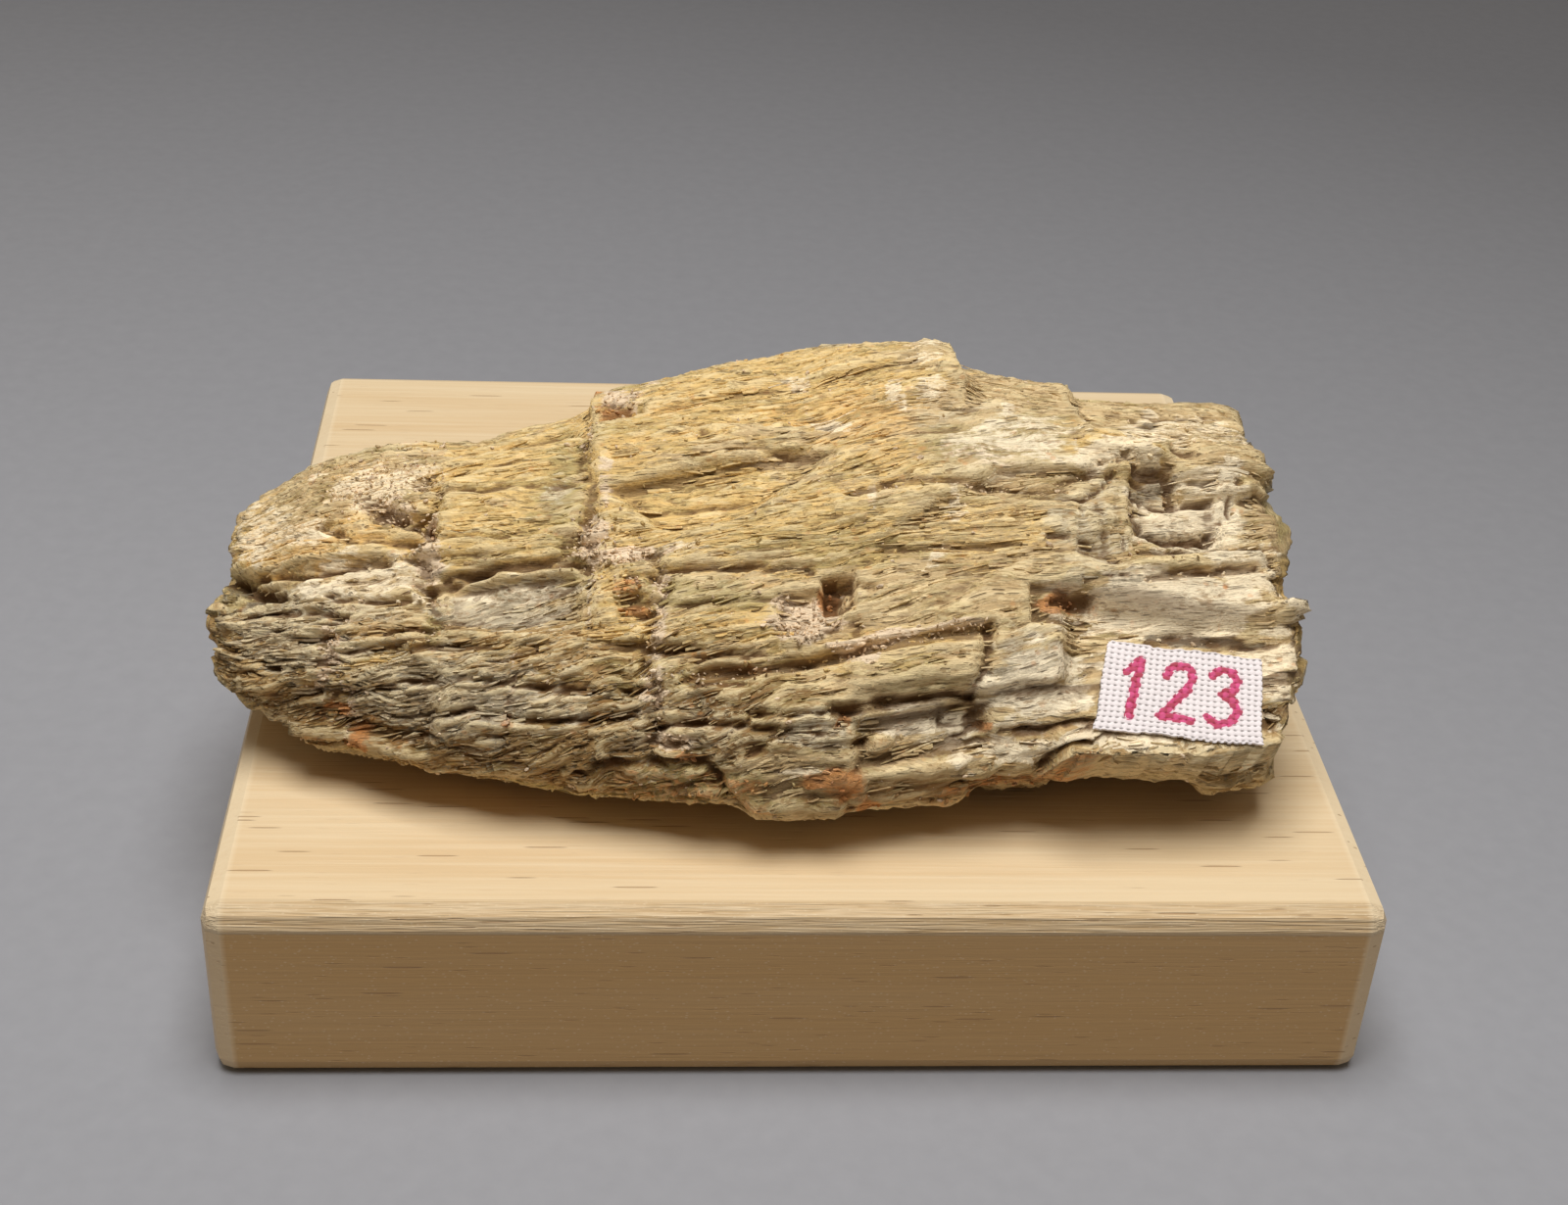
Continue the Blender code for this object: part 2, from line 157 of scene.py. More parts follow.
turn = (Matrix.Rotation(CAMERA_YAW, 4, "Z") @ Matrix.Rotation(-CAMERA_DOWN, 4, "X")
        @ Matrix.Rotation(CAMERA_ROLL, 4, "Y"))
camera = bpy.data.objects.new("camera", bpy.data.cameras.new("camera"))
camera.data.lens = LENS
camera.data.sensor_width = SENSOR
camera.data.clip_start = 0.01
camera.data.clip_end = 10
camera.matrix_world = (Matrix.Translation(CAMERA_PLACE) @ turn
                       @ Matrix.Rotation(math.radians(90), 4, "X"))
bpy.context.scene.collection.objects.link(camera)
bpy.context.scene.camera = camera

to_right = np.array(turn.col[0][:3])
to_front = np.array(turn.col[1][:3])
to_top = np.array(turn.col[2][:3])
FOCAL_PIXELS = LENS / SENSOR * PICTURE[0]


def picture_place(points):
    """Where points in millimetres show in the picture, in its pixels, from its top left."""
    away = points - np.array(CAMERA_PLACE) / MM
    depth = away @ to_front
    across = PICTURE[0] / 2 + FOCAL_PIXELS * (away @ to_right) / depth
    down = PICTURE[1] / 2 - FOCAL_PIXELS * (away @ to_top) / depth
    return across, down


print("camera looks along", to_front.round(3))

# %% [markdown]
# ## The stone's form
#
# The stone is a loft: a cross section carried along its length while it swells, shrinks and
# lifts. One could model it from a box with subdivision, but a loft keeps the fibres' direction,
# which every later step needs. A place on it is named by t, from the left tip to the right, and by
# its share of the girth, from the low front edge up over the top and down the back.

# %% Girths, sections and ends
BLOCK_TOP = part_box("wooden_block")[1][2] / MM
GAP = 0.3

# place along the length, half depth, middle in depth, height, lift of the underside
GIRTHS = np.array([
    (-62, 15.5, -15.5, 15.0, 2.8),
    (-50, 20.5, -17.0, 21.5, 2.2),
    (-34, 24.5, -19.0, 26.0, 1.2),
    (-18, 29.0, -18.0, 30.0, 0.6),
    (0, 34.0, -15.5, 33.0, 0.0),
    (14, 33.0, -15.0, 34.5, 0.6),
    (30, 28.0, -18.0, 32.5, 1.8),
    (54, 24.5, -17.5, 27.0, 2.3),
], float)
SECTION_LEFT = np.array([
    (-0.74, 0.10), (-0.98, 0.30), (-0.84, 0.62), (-0.47, 0.87), (0.00, 0.99), (0.30, 0.98),
    (0.70, 0.80), (0.96, 0.46), (0.76, 0.14), (0.28, 0.00), (-0.33, 0.00),
])
SECTION_MIDDLE = np.array([
    (-0.79, 0.09), (-0.96, 0.24), (-0.86, 0.47), (-0.47, 0.76), (0.00, 0.95), (0.30, 1.00),
    (0.70, 0.84), (0.97, 0.47), (0.82, 0.13), (0.30, 0.00), (-0.35, 0.00),
])
SECTION_RIGHT = np.array([
    (-0.85, 0.03), (-0.97, 0.22), (-0.84, 0.45), (-0.47, 0.72), (0.00, 0.92), (0.34, 0.97),
    (0.74, 0.84), (0.98, 0.48), (0.86, 0.12), (0.30, 0.00), (-0.35, 0.01),
])
LEFT_SECTION_SPAN = (-60, -20)
RIGHT_SECTION_SPAN = (10, 45)
SECTION_CORE = 0.48
SECTION_POINTS = 1200
LEFT_TIP = -62.8
RIGHT_TIP = 52.8
END_REACH = 3.6
END_SQUARENESS = 5.0
END_RADIUS = 20.0
# end (-1 left, 1 right), millimetres short of the tip, reach, girth shares it covers
END_SETBACKS = [
    (-1, 1.0, 12, (0.16, 0.19, 0.60, 0.75)),
    (-1, 4.0, 13, (-0.25, -0.12, 0.045, 0.085)),
    (1, 2.4, 10, (-0.25, -0.12, 0.030, 0.075)),
]
GIRTH_RATIO = 3.16


# %% The envelope
def along_stations(x):
    """Half depth, middle, height and lift at x: a smooth curve through the girths."""
    places = GIRTHS[:, 0]
    values = GIRTHS[:, 1:]
    slopes = np.gradient(values, places, axis=0)
    i = np.clip(np.searchsorted(places, x) - 1, 0, len(places) - 2)
    span = (places[i + 1] - places[i])[:, None]
    t = np.clip((x - places[i])[:, None] / span, 0, 1)
    start = values[i] * (2 * t**3 - 3 * t**2 + 1) + span * slopes[i] * (t**3 - 2 * t**2 + t)
    end = values[i + 1] * (3 * t**2 - 2 * t**3) + span * slopes[i + 1] * (t**3 - t**2)
    return (start + end).T


def closed_section(points):
    """A section's corner points as a smooth closed curve, evenly spaced along its length."""
    count = len(points)
    k = np.linspace(0, count, SECTION_POINTS, endpoint=False)
    i = k.astype(int)
    t = (k - i)[:, None]
    p, q, r, s = (points[(i + step) % count] for step in (-1, 0, 1, 2))
    bend = 2 * p - 5 * q + 4 * r - s
    curve = 0.5 * (2 * q + (r - p) * t + bend * t**2 + (3 * q - p - 3 * r + s) * t**3)
    loop = np.vstack([curve, curve[:1]])
    steps = np.diff(loop, axis=0) * (1.0, 0.5)
    length = np.concatenate([[0], np.cumsum(np.hypot(*steps.T))])
    even = np.linspace(0, length[-1], SECTION_POINTS, endpoint=False)
    return np.stack([np.interp(even, length, loop[:, axis]) for axis in (0, 1)], -1)


SECTIONS = [closed_section(points) for points in (SECTION_LEFT, SECTION_MIDDLE, SECTION_RIGHT)]


def section_at(x, girth):
    """Depth and height of the unit section at x, blended from the three sections."""
    left = 1 - smooth((x - LEFT_SECTION_SPAN[0]) / np.ptp(LEFT_SECTION_SPAN))
    right = smooth((x - RIGHT_SECTION_SPAN[0]) / np.ptp(RIGHT_SECTION_SPAN))
    shares = (left, 1 - left - right, right)
    place = (girth % 1) * SECTION_POINTS
    steps = np.arange(SECTION_POINTS + 1)
    depth = 0
    height = 0
    for share, section in zip(shares, SECTIONS):
        loop = np.vstack([section, section[:1]])
        depth = depth + share * np.interp(place, steps, loop[:, 0])
        height = height + share * np.interp(place, steps, loop[:, 1])
    return depth, height


def meridian(t):
    """Place along the stone and size of the section for t from 0 (left tip) to 1 (right tip).

    Each end is a quarter of a superellipse; t follows the length of the whole line.
    """
    angle = np.linspace(0, math.pi / 2, 120)
    power = 2 / END_SQUARENESS
    size = np.sin(angle) ** power
    inward = END_REACH * (1 - np.cos(angle) ** power)
    x = np.concatenate([LEFT_TIP + inward, (RIGHT_TIP - inward)[::-1]])
    size = np.concatenate([size, size[::-1]])
    length = np.concatenate([[0], np.cumsum(np.hypot(np.diff(x), END_RADIUS * np.diff(size)))])
    return np.interp(t * length[-1], length, x), np.interp(t * length[-1], length, size)


def from_below(girth):
    """The girth share from -0.25 to 0.75, so that the low front edge at 0 lies inside."""
    return (girth + 0.25) % 1 - 0.25


def end_setback(x, girth):
    """How far along the stone a point moves because its part of an end stops short."""
    turned = from_below(girth)
    setback = 0
    for end, back, reach, span in END_SETBACKS:
        from_tip = x - LEFT_TIP if end < 0 else RIGHT_TIP - x
        setback = setback - end * back * window(turned, span) * (1 - smooth(from_tip / reach))
    return setback


def envelope(t, girth):
    """The stone's smooth form: the section at each place, scaled by its girth there."""
    x, size = meridian(t)
    half_depth, middle, height, lift = along_stations(x)
    depth_share, height_share = section_at(x, girth)
    y = middle + half_depth * depth_share * size
    z = lift + height * (SECTION_CORE + (height_share - SECTION_CORE) * size)
    return np.stack([x + end_setback(x, girth), y, z + BLOCK_TOP + GAP], -1)


def outward(t, girth):
    """The direction that faces out of the envelope, from its slopes along and around."""
    step = 0.002
    along = envelope(np.clip(t + step, 0, 1), girth) - envelope(np.clip(t - step, 0, 1), girth)
    around = envelope(t, girth + step) - envelope(t, girth - step)
    normal = np.cross(along, around)
    size = np.linalg.norm(normal, axis=1, keepdims=True)
    tip = np.stack([np.sign(t - 0.5), 0 * t, 0 * t], -1)
    return np.where(size > 1e-6, normal / np.maximum(size, 1e-9), tip)


def local_girth(x):
    """The length round the stone at x, in millimetres."""
    half_depth, _, height, _ = along_stations(x)
    return GIRTH_RATIO * (half_depth + height / 2)


def girth_gap(girth, centre):
    """The signed share of the girth from a centre, the short way round."""
    return (girth - centre + 0.5) % 1 - 0.5


print("girth at the middle:", local_girth(np.array([0.0]))[0].round(1), "mm")

# %% [markdown]
# ## The stone's main relief
#
# Hollows, raised plates, cracks and steps are what a hand would feel first. They repeat the
# values of the solid, so the fine surface lies where the solid lies.

# %% Hollows, cracks and steps
# along, girth share, half length, half width, depth (negative: a raised plate)
HOLLOWS = [
    (-30.0, 0.170, 8.2, 3.4, 1.5),
    (-42.0, 0.268, 3.8, 2.2, 1.3),
    (-17.5, 0.158, 2.0, 2.0, 1.0),
    (0.5, 0.148, 3.8, 2.8, 1.2),
    (3.4, 0.160, 1.9, 2.4, 2.2),
    (26.5, 0.142, 3.8, 2.4, 1.3),
    (41.0, 0.243, 5.6, 5.4, 1.7),
    (12.0, 0.066, 7.8, 2.5, 1.8),
    (-19.5, 0.372, 3.2, 1.8, 1.5),
    (11.0, 0.104, 7.6, 2.0, -1.0),
    (-17.0, 0.028, 7.5, 1.8, -0.5),
    (-1.0, 0.030, 5.5, 2.4, -0.7),
    (35.5, 0.302, 6.0, 2.2, -0.8),
    (47.5, 0.315, 5.0, 3.4, -0.9),
    (51.8, 0.142, 2.4, 1.2, -1.5),
    (-12.0, 0.620, 16.0, 4.5, 1.4),
    (22.0, 0.660, 11.0, 4.0, 1.2),
    (-38.0, 0.600, 9.0, 3.0, 0.9),
    (6.0, 0.735, 14.0, 3.4, -0.9),
    (34.0, 0.560, 9.0, 3.2, -0.8),
    (34.0, 0.995, 8.5, 5.0, 1.8),
    (-9.5, 0.995, 4.5, 3.5, 1.0),
    (-57.0, 0.010, 6.0, 4.0, 1.8),
]
HOLLOW_EDGE = 0.28

# width, depth, points as (along, girth share)
CRACKS = [
    (1.6, 1.0, [(-22.5, 0.360), (-22.4, 0.270), (-21.8, 0.190)]),
    (1.9, 1.1, [(-39.2, 0.330), (-39.6, 0.230), (-38.8, 0.140)]),
    (1.5, 1.1, [(-15.8, 0.200), (-16.1, 0.130), (-15.4, 0.055)]),
    (1.4, 0.6, [(-48.9, 0.146), (-48.7, 0.090), (-46.6, 0.034)]),
    (1.3, 1.3, [(-12.2, 0.106), (5.7, 0.119), (18.3, 0.124)]),
    (1.0, 0.8, [(4.3, 0.231), (26.6, 0.238), (35.3, 0.286)]),
    (1.1, 1.0, [(37.0, 0.164), (49.3, 0.184)]),
    (1.4, 1.4, [(35.3, 0.119), (45.3, 0.122)]),
    (1.6, 1.1, [(-30.0, 0.500), (-29.0, 0.620), (-31.0, 0.760)]),
    (1.5, 1.0, [(8.0, 0.520), (10.0, 0.630), (9.0, 0.780)]),
    (1.4, 1.1, [(33.0, 0.480), (31.5, 0.600), (34.0, 0.740)]),
    (1.3, 1.2, [(-48.0, 0.560), (-10.0, 0.550), (14.0, 0.580)]),
    (1.3, 1.0, [(-20.0, 0.690), (20.0, 0.700), (44.0, 0.680)]),
]

# place along, girth shares between which the step shows, drop, run of the lowered side
STEPS = [
    (-22.5, 0.29, 0.66, 1.6, -18.0),
    (18.2, 0.33, 0.66, 2.8, 26.0),
    (31.5, 0.33, 0.66, 1.9, 40.0),
]
STEP_EDGE = 0.9
STEP_FADE = 0.03
LUMP_HEIGHT = 0.9
LUMP_SIZE = (17.0, 8.0, 8.0)
PLATE_HEIGHT = 1.1
PLATE_LENGTH = 19.0
PLATES_AROUND = 22
PLATE_EDGE = 0.16
BREAK_HEIGHT = 1.8
BREAK_SIZE = (40.0, 7.0, 4.5)
BREAK_SQUARENESS = 4
FIBRE_SWING = 0.0016
FIBRE_SWING_SPAN = (0.09, 0.19, 0.44, 0.58)

# bends to the girth, millimetres along the stone for each bend, and the seeds of both sizes
CRACK_BENDS = (40, 14, 95, 96)
STEP_BENDS = (34, 16, 98, 99)
# how far lines wander in millimetres, in long bends and in short ones
CRACK_WANDER = (1.3, 0.8)
STEP_WANDER = (0.6, 0.4)
STEP_WANDER_HIDDEN = (2.6, 0.9)
SHORT_BENDS = 4
CRACK_SLOPE = 0.45


def hollow_relief(x, girth):
    """The hollows and raised plates: rounded boxes sunk into or lifted off the surface."""
    around = local_girth(x)
    relief = 0
    for along, share, half_length, half_width, depth in HOLLOWS:
        u = np.abs(x - along) / half_length
        v = np.abs(girth_gap(girth, share)) * around / half_width
        relief = relief - depth * smooth((1 - u) / HOLLOW_EDGE) * smooth((1 - v) / HOLLOW_EDGE)
    return relief


def line_distance(u, v, corners):
    """The distance from a line through corners, in the units of u and v."""
    nearest = np.full(np.shape(u), np.inf)
    for (u0, v0), (u1, v1) in zip(corners, corners[1:]):
        run = u1 - u0
        rise = v1 - v0
        t = np.clip(((u - u0) * run + (v - v0) * rise) / (run * run + rise * rise), 0, 1)
        nearest = np.minimum(nearest, np.hypot(u - u0 - t * run, v - v0 - t * rise))
    return nearest


def wandered(x, girth, bends, long_reach, short_reach):
    """x moved to and fro by long bends and short ones, so that lines round the stone wander."""
    to_girth, along, long_seed, short_seed = bends
    winding = on_plane(girth * to_girth, x / along)
    x = x + long_reach * noise(winding, long_seed)
    return x + short_reach * noise(winding * SHORT_BENDS, short_seed)


def crack_relief(x, girth):
    """The cracks: soft-sided grooves that wander a little to each side of their lines."""
    around = local_girth(x)
    x = wandered(x, girth, CRACK_BENDS, *CRACK_WANDER)
    relief = 0
    for width, depth, points in CRACKS:
        first = points[0][1]
        corners = [(along, (share - first) * around) for along, share in points]
        nearest = line_distance(x, girth_gap(girth, first) * around, corners)
        relief = relief - depth * np.exp(-(nearest / (CRACK_SLOPE * width)) ** 2)
    return relief


def step_relief(x, girth):
    """The steps across the top: a sharp drop that slowly comes level again."""
    hidden = smooth((girth % 1 - 0.42) / 0.08)
    reach = [seen + more * hidden for seen, more in zip(STEP_WANDER, STEP_WANDER_HIDDEN)]
    x = wandered(x, girth, STEP_BENDS, *reach)
    relief = 0
    for place, low, high, drop, run in STEPS:
        beyond = (x - place) * np.sign(run)
        limits = (low - STEP_FADE, low + STEP_FADE, high - STEP_FADE, high + STEP_FADE)
        fall = smooth(beyond / STEP_EDGE + 0.5) * (1 - smooth(beyond / abs(run)))
        relief = relief - drop * window(girth % 1, limits) * fall
    return relief


def fibre_share(x, girth):
    """The girth share that the big plates follow: they rise to the right on the upper front."""
    swing = FIBRE_SWING * np.maximum(x, 0) * window(girth % 1, FIBRE_SWING_SPAN)
    return girth - swing


# the rise of the fine fibres for each millimetre, and the girth shares where they rise
RIGHT_RISE = 0.0012
RIGHT_RISE_SPAN = (-0.02, 0.24, 0.44, 0.60)
LEFT_RISE = 0.0019
LEFT_RISE_SPAN = (-0.20, -0.04, 0.10, 0.30)
LEFT_RISE_MIDDLE = -32.0
LEFT_RISE_REACH = 30.0


def grain_share(x, girth):
    """The girth share that fine fibres follow: they rise to the right, low on the left too."""
    turned = from_below(girth)
    swing = RIGHT_RISE * np.maximum(x, 0) * window(turned, RIGHT_RISE_SPAN)
    past = np.clip(x - LEFT_RISE_MIDDLE, -LEFT_RISE_REACH, LEFT_RISE_REACH)
    return girth - swing - LEFT_RISE * past * window(turned, LEFT_RISE_SPAN)


# %% [markdown]
# ## The stone's grid
#
# The surface is a grid of rows along the stone and columns round it, closed by a point at each
# end. Columns stand closer together on the side that is seen, because that is where small ledges
# cast shadows; the back keeps fewer. The whole grid stays under 200,000 triangles.

# %% Lay out the grid
ROWS = 238
COLUMNS = 408
CAP_SHARE = 0.17
CAP_ROWS = 30
SEEN_GIRTH = 0.51
SEEN_START = -0.07
SEEN_COLUMNS = 0.68


def row_places():
    """t for each row: some rows over each end cap and the rest evenly along the sides."""
    cap = CAP_SHARE * np.arange(1, CAP_ROWS) / CAP_ROWS
    side = np.linspace(CAP_SHARE, 1 - CAP_SHARE, ROWS - 2 * len(cap))
    return np.concatenate([cap, side, (1 - cap)[::-1]])


def column_places():
    """The girth share of each column: closer together over the part that the camera sees."""
    seen = int(COLUMNS * SEEN_COLUMNS)
    front = SEEN_START + SEEN_GIRTH * np.arange(seen) / seen
    rest = COLUMNS - seen
    back = SEEN_START + SEEN_GIRTH + (1 - SEEN_GIRTH) * np.arange(rest) / rest
    return np.concatenate([front, back])


row_t, column_g = row_places(), column_places()
grid_t, grid_g = (a.ravel() for a in np.meshgrid(row_t, column_g, indexing="ij"))
grid_base = envelope(grid_t, grid_g)
grid_out = outward(grid_t, grid_g)
grid_x = grid_base[:, 0]
_, grid_size = meridian(grid_t)
side = grid_size**BREAK_SQUARENESS
fibre = fibre_share(grid_x, grid_g)
NOMINAL_GIRTH = 150

px, py = picture_place(grid_base)
toward = np.array(CAMERA_PLACE) / MM - grid_base
toward /= np.linalg.norm(toward, axis=1, keepdims=True)
seen = smooth(((grid_out * toward).sum(1) + 0.02) / 0.12)
print("grid:", ROWS, "x", COLUMNS, "->", 2 * COLUMNS * ROWS, "triangles")

# %% [markdown]
# ## What the photograph shows on the front
#
# The front has its own cracks, pits and stains. Each was picked in the photograph, in its pixels,
# and is carried onto the stone through the camera. Painting an image would be quicker, but it
# would bake one light into the stone and leave nothing on the other sides; a list of places can be
# read, moved and given any depth or tint.

# %% Cracks and pits on the front
# name: width in pixels, depth in millimetres, corners in picture pixels
FRONT_CRACKS = {
    "left notch": (6, 1.5, [(219, 590), (250, 600), (282, 607)]),
    "left notch lower lip": (4, 0.8, [(222, 628), (258, 612), (282, 607)]),
    "left low split": (4, 0.9, [(219, 655), (250, 668), (280, 682)]),
    "under the left ridge": (4, 0.9, [(245, 632), (280, 625), (311, 623), (350, 625)]),
    "left mid split": (3, 0.7, [(262, 590), (330, 580), (395, 571)]),
    "left mid split 2": (3, 0.6, [(330, 606), (391, 612), (424, 609)]),
    "roof of the grey panel": (6, 1.5, [(434, 597), (459, 585), (519, 574), (566, 571), (600, 578)]),
    "panel right edge": (4, 0.7, [(600, 584), (601, 640)]),
    "upper left pits": (8, 1.1, [(372, 508), (400, 520), (440, 545)]),
    "upper left pits 2": (5, 0.8, [(330, 541), (362, 552), (430, 556)]),
    "orange slope split": (3, 0.6, [(240, 560), (290, 548), (345, 530)]),
    "yellow split": (3, 0.5, [(450, 552), (520, 548), (590, 546)]),
    "yellow split 2": (3, 0.5, [(470, 502), (530, 496), (588, 497)]),
    "pink thread": (3, 0.4, [(536, 667), (527, 686), (522, 710), (517, 730), (519, 754)]),
    "vein left branch": (5, 0.3, [(334, 625), (335, 657), (335, 686), (316, 712)]),
    "vein right branch": (4, 0.3, [(335, 681), (350, 696), (353, 717), (367, 751)]),
    "low left wave 1": (5, 0.8, [(350, 668), (420, 662), (500, 660), (560, 664)]),
    "low left wave 2": (5, 0.7, [(380, 700), (450, 692), (520, 700), (600, 706)]),
    "low left wave 3": (4, 0.7, [(400, 735), (470, 726), (560, 738), (650, 733)]),
    "middle groove start": (6, 1.0, [(604, 658), (660, 662), (724, 669), (793, 665)]),
    "middle groove": (6, 0.7, [(712, 684), (770, 679), (827, 675), (861, 668), (884, 659)]),
    "under the raised plate": (7, 1.6, [(850, 727), (914, 717), (993, 711)]),
    "plate right end": (5, 0.9, [(1008, 638), (1008, 668), (994, 708)]),
    "grey block joint": (3, 0.8, [(960, 720), (962, 745), (988, 742)]),
    "smooth plate crack": (2, 0.4, [(1003, 684), (1029, 697), (1073, 700), (1115, 678)]),
    "low strip crack": (3, 0.7, [(1022, 746), (1105, 742), (1169, 752)]),
    "low strip gap": (6, 1.2, [(1062, 785), (1095, 777), (1137, 769)]),
    "low strip gap 2": (4, 0.8, [(1150, 768), (1215, 771), (1262, 779)]),
    "bottom plate top edge": (6, 1.1, [(590, 786), (640, 779), (687, 778), (726, 781)]),
    "bottom plate joint": (5, 1.0, [(728, 790), (742, 812), (762, 822)]),
    "olive ledge": (4, 0.9, [(765, 728), (800, 733), (838, 730)]),
    "upper ridge crack": (3, 0.5, [(900, 497), (961, 493), (1031, 507), (1070, 505), (1105, 507)]),
    "upper ridge corner": (3, 0.8, [(1105, 507), (1127, 496), (1146, 463), (1160, 474)]),
    "recess top": (6, 1.3, [(1159, 477), (1194, 480), (1205, 500)]),
    "recess floor": (7, 1.4, [(1161, 520), (1175, 537), (1200, 543), (1243, 538)]),
    "recess side": (4, 1.0, [(1243, 538), (1258, 520), (1262, 495)]),
    "recess left edge": (4, 0.9, [(1158, 478), (1159, 512), (1166, 545)]),
    "recess line": (4, 0.8, [(1160, 500), (1190, 506), (1236, 503)]),
    "recess line 2": (3, 0.6, [(1168, 560), (1210, 556), (1262, 560)]),
    "belly split": (4, 0.8, [(640, 705), (700, 697), (760, 700)]),
    "belly split 2": (4, 0.7, [(650, 745), (720, 738), (790, 745)]),
    "low left wave 4": (4, 0.7, [(300, 655), (360, 650), (430, 640)]),
    "low left wave 5": (4, 0.6, [(250, 690), (300, 684), (330, 676)]),
    "ledge right": (4, 0.8, [(1194, 463), (1225, 469)]),
    "long right crack": (4, 0.5, [(1105, 592), (1159, 586), (1191, 585), (1239, 582), (1287, 577)]),
    "flakes": (3, 0.6, [(1071, 545), (1098, 546), (1127, 562)]),
    "flakes 2": (3, 0.6, [(1108, 551), (1128, 557), (1142, 573)]),
    "rusty pit floor": (5, 0.8, [(1078, 612), (1115, 606)]),
    "dark arch": (7, 0.6, [(1172, 654), (1191, 643), (1216, 641), (1242, 655), (1299, 657)]),
    "thin red line": (2, 0.3, [(1245, 589), (1245, 612), (1248, 642)]),
    "under the label corner": (6, 1.0, [(1262, 766), (1290, 766)]),
    "right foot": (4, 0.8, [(1290, 752), (1308, 746), (1320, 730)]),
    "right knob split": (3, 0.6, [(1205, 556), (1250, 551), (1296, 556)]),
    "right knob split 2": (3, 0.5, [(1240, 500), (1272, 506), (1300, 500)]),
    "right top split": (3, 0.6, [(1160, 408), (1200, 414), (1250, 414)]),
    "hole roof": (4, 0.8, [(846, 590), (874, 595), (890, 598)]),
    "centre split": (3, 0.6, [(640, 590), (690, 585), (760, 579), (830, 581)]),
    "centre split 2": (3, 0.6, [(640, 610), (700, 618), (790, 612)]),
    "centre split 3": (3, 0.5, [(900, 560), (960, 555), (1040, 553)]),
    "top split": (3, 0.5, [(700, 470), (760, 462), (850, 466)]),
    "top split 2": (2, 0.5, [(640, 520), (720, 512), (820, 508)]),
}

# name: middle in picture pixels, half width, half height, depth in millimetres
FRONT_PITS = {
    "upper left pit": (428, 540, 14, 8, 1.0),
    "crumbly pit": (392, 522, 16, 8, 0.9),
    "top left slot": (407, 473, 13, 3, 0.9),
    "red pit on top": (628, 417, 20, 6, 0.8),
    "little hole": (524, 641, 6, 5, 1.1),
    "brown hollow": (652, 625, 15, 11, 0.3),
    "small hollow": (668, 596, 9, 8, 0.6),
    "deep hole": (850, 603, 13, 15, 0.9),
    "corner hole": (872, 640, 8, 10, 0.6),
    "rust block": (861, 737, 8, 12, 0.9),
    "cave by the nodule": (880, 758, 12, 9, 1.2),
    "cave at the plate end": (1000, 735, 10, 12, 1.0),
    "low hole": (770, 765, 12, 7, 0.8),
    "rusty pit": (1101, 608, 20, 7, 0.5),
    "top crumb": (720, 446, 8, 7, 0.7),
    "small pit right": (1178, 425, 8, 4, 0.5),
    "gap pit": (580, 556, 10, 8, 0.8),
    "gap pit 2": (600, 530, 8, 12, 0.7),
    "low strip, upper edge": (1150, 752, 140, 11, 0.7),
}

# name: middle, half width, half height, height in millimetres of what stands proud
FRONT_LUMPS = {
    "white nodule": (425, 607, 6, 6, 0.8),
    "ochre nodule": (900, 759, 17, 11, 1.2),
    "clay boss": (824, 635, 26, 20, 0.5),
    "peak facet": (950, 362, 14, 12, 0.5),
    "yellow ledge": (1168, 470, 16, 7, 0.5),
    "right spur": (1314, 623, 9, 5, 1.0),
    "low strip, lower edge": (1160, 790, 150, 13, 0.5),
    "rust crust": (857, 806, 36, 10, 0.6),
}


def spot(middle_x, middle_y, half_width, half_height, soft, turn_degrees=0.0):
    """1 inside an ellipse in the picture, fading to 0 over the soft share of its size."""
    angle = math.radians(turn_degrees)
    u = (px - middle_x) * math.cos(angle) + (py - middle_y) * math.sin(angle)
    v = (py - middle_y) * math.cos(angle) - (px - middle_x) * math.sin(angle)
    distance = np.hypot(u / half_width, v / half_height)
    ragged = 0.50 * noise(grid_base / (2.6, 1.1, 1.1), 71)
    ragged = ragged + 0.34 * noise(grid_base / (1.3, 0.5, 0.5), 72)
    return smooth((1 + soft - distance + ragged) / (2 * soft)) * seen


def front_line(width, corners):
    """1 on a line in the picture, fading to 0 past its width, with a slightly wandering edge."""
    wander = 2.2 * noise(grid_base / 2.4, 73) + 1.7 * noise(grid_base / (1.6, 0.8, 0.8), 74)
    distance = line_distance(px, py + wander, corners) / width
    rough = 1 + 0.7 * noise(grid_base / (1.5, 0.6, 0.6), 77)
    return np.exp(-distance**3) * rough * seen


# %% [markdown]
# ## Fibres, slivers and waves
#
# Three sizes of tilted plates make the splintery grain: ledges, slivers and hairs. On the low left
# the fibres are wavy, so there a noise stretched along them adds rounded ridges. Broad masks say
# where each kind is strong: the yellow top is fine and the low left is coarse.

# %% Work out the relief
LEDGES = (7.5, 74, 21, 0.07, 1.2)
SLIVERS = (4.2, 180, 31, 0.11, 1.4)
HAIRS = (2.4, 340, 41, 0.22, 1.0)
LONG_BEND = 0.006
SHORT_BEND = 0.0022
COARSE_BEND = 0.0034
PIT_SOFT = 0.35
LUMP_SOFT = 0.4

# girth shares of the bands that are coarse or calm, and where they end along the stone
FRONT_BAND = (0.20, 0.26, 0.66, 0.72)
LOW_LEFT_BAND = (-0.16, -0.10, 0.13, 0.17)
LOW_STRIP_BAND = (-0.16, -0.10, 0.05, 0.08)
LOW_LEFT_END = -12
LOW_STRIP_START = 10
BAND_FADE = 8
LOW_STRIP_SHARE = 0.7
HIDDEN_SHARE = 0.8
HIDDEN_PATCH = (22, 9, 9)
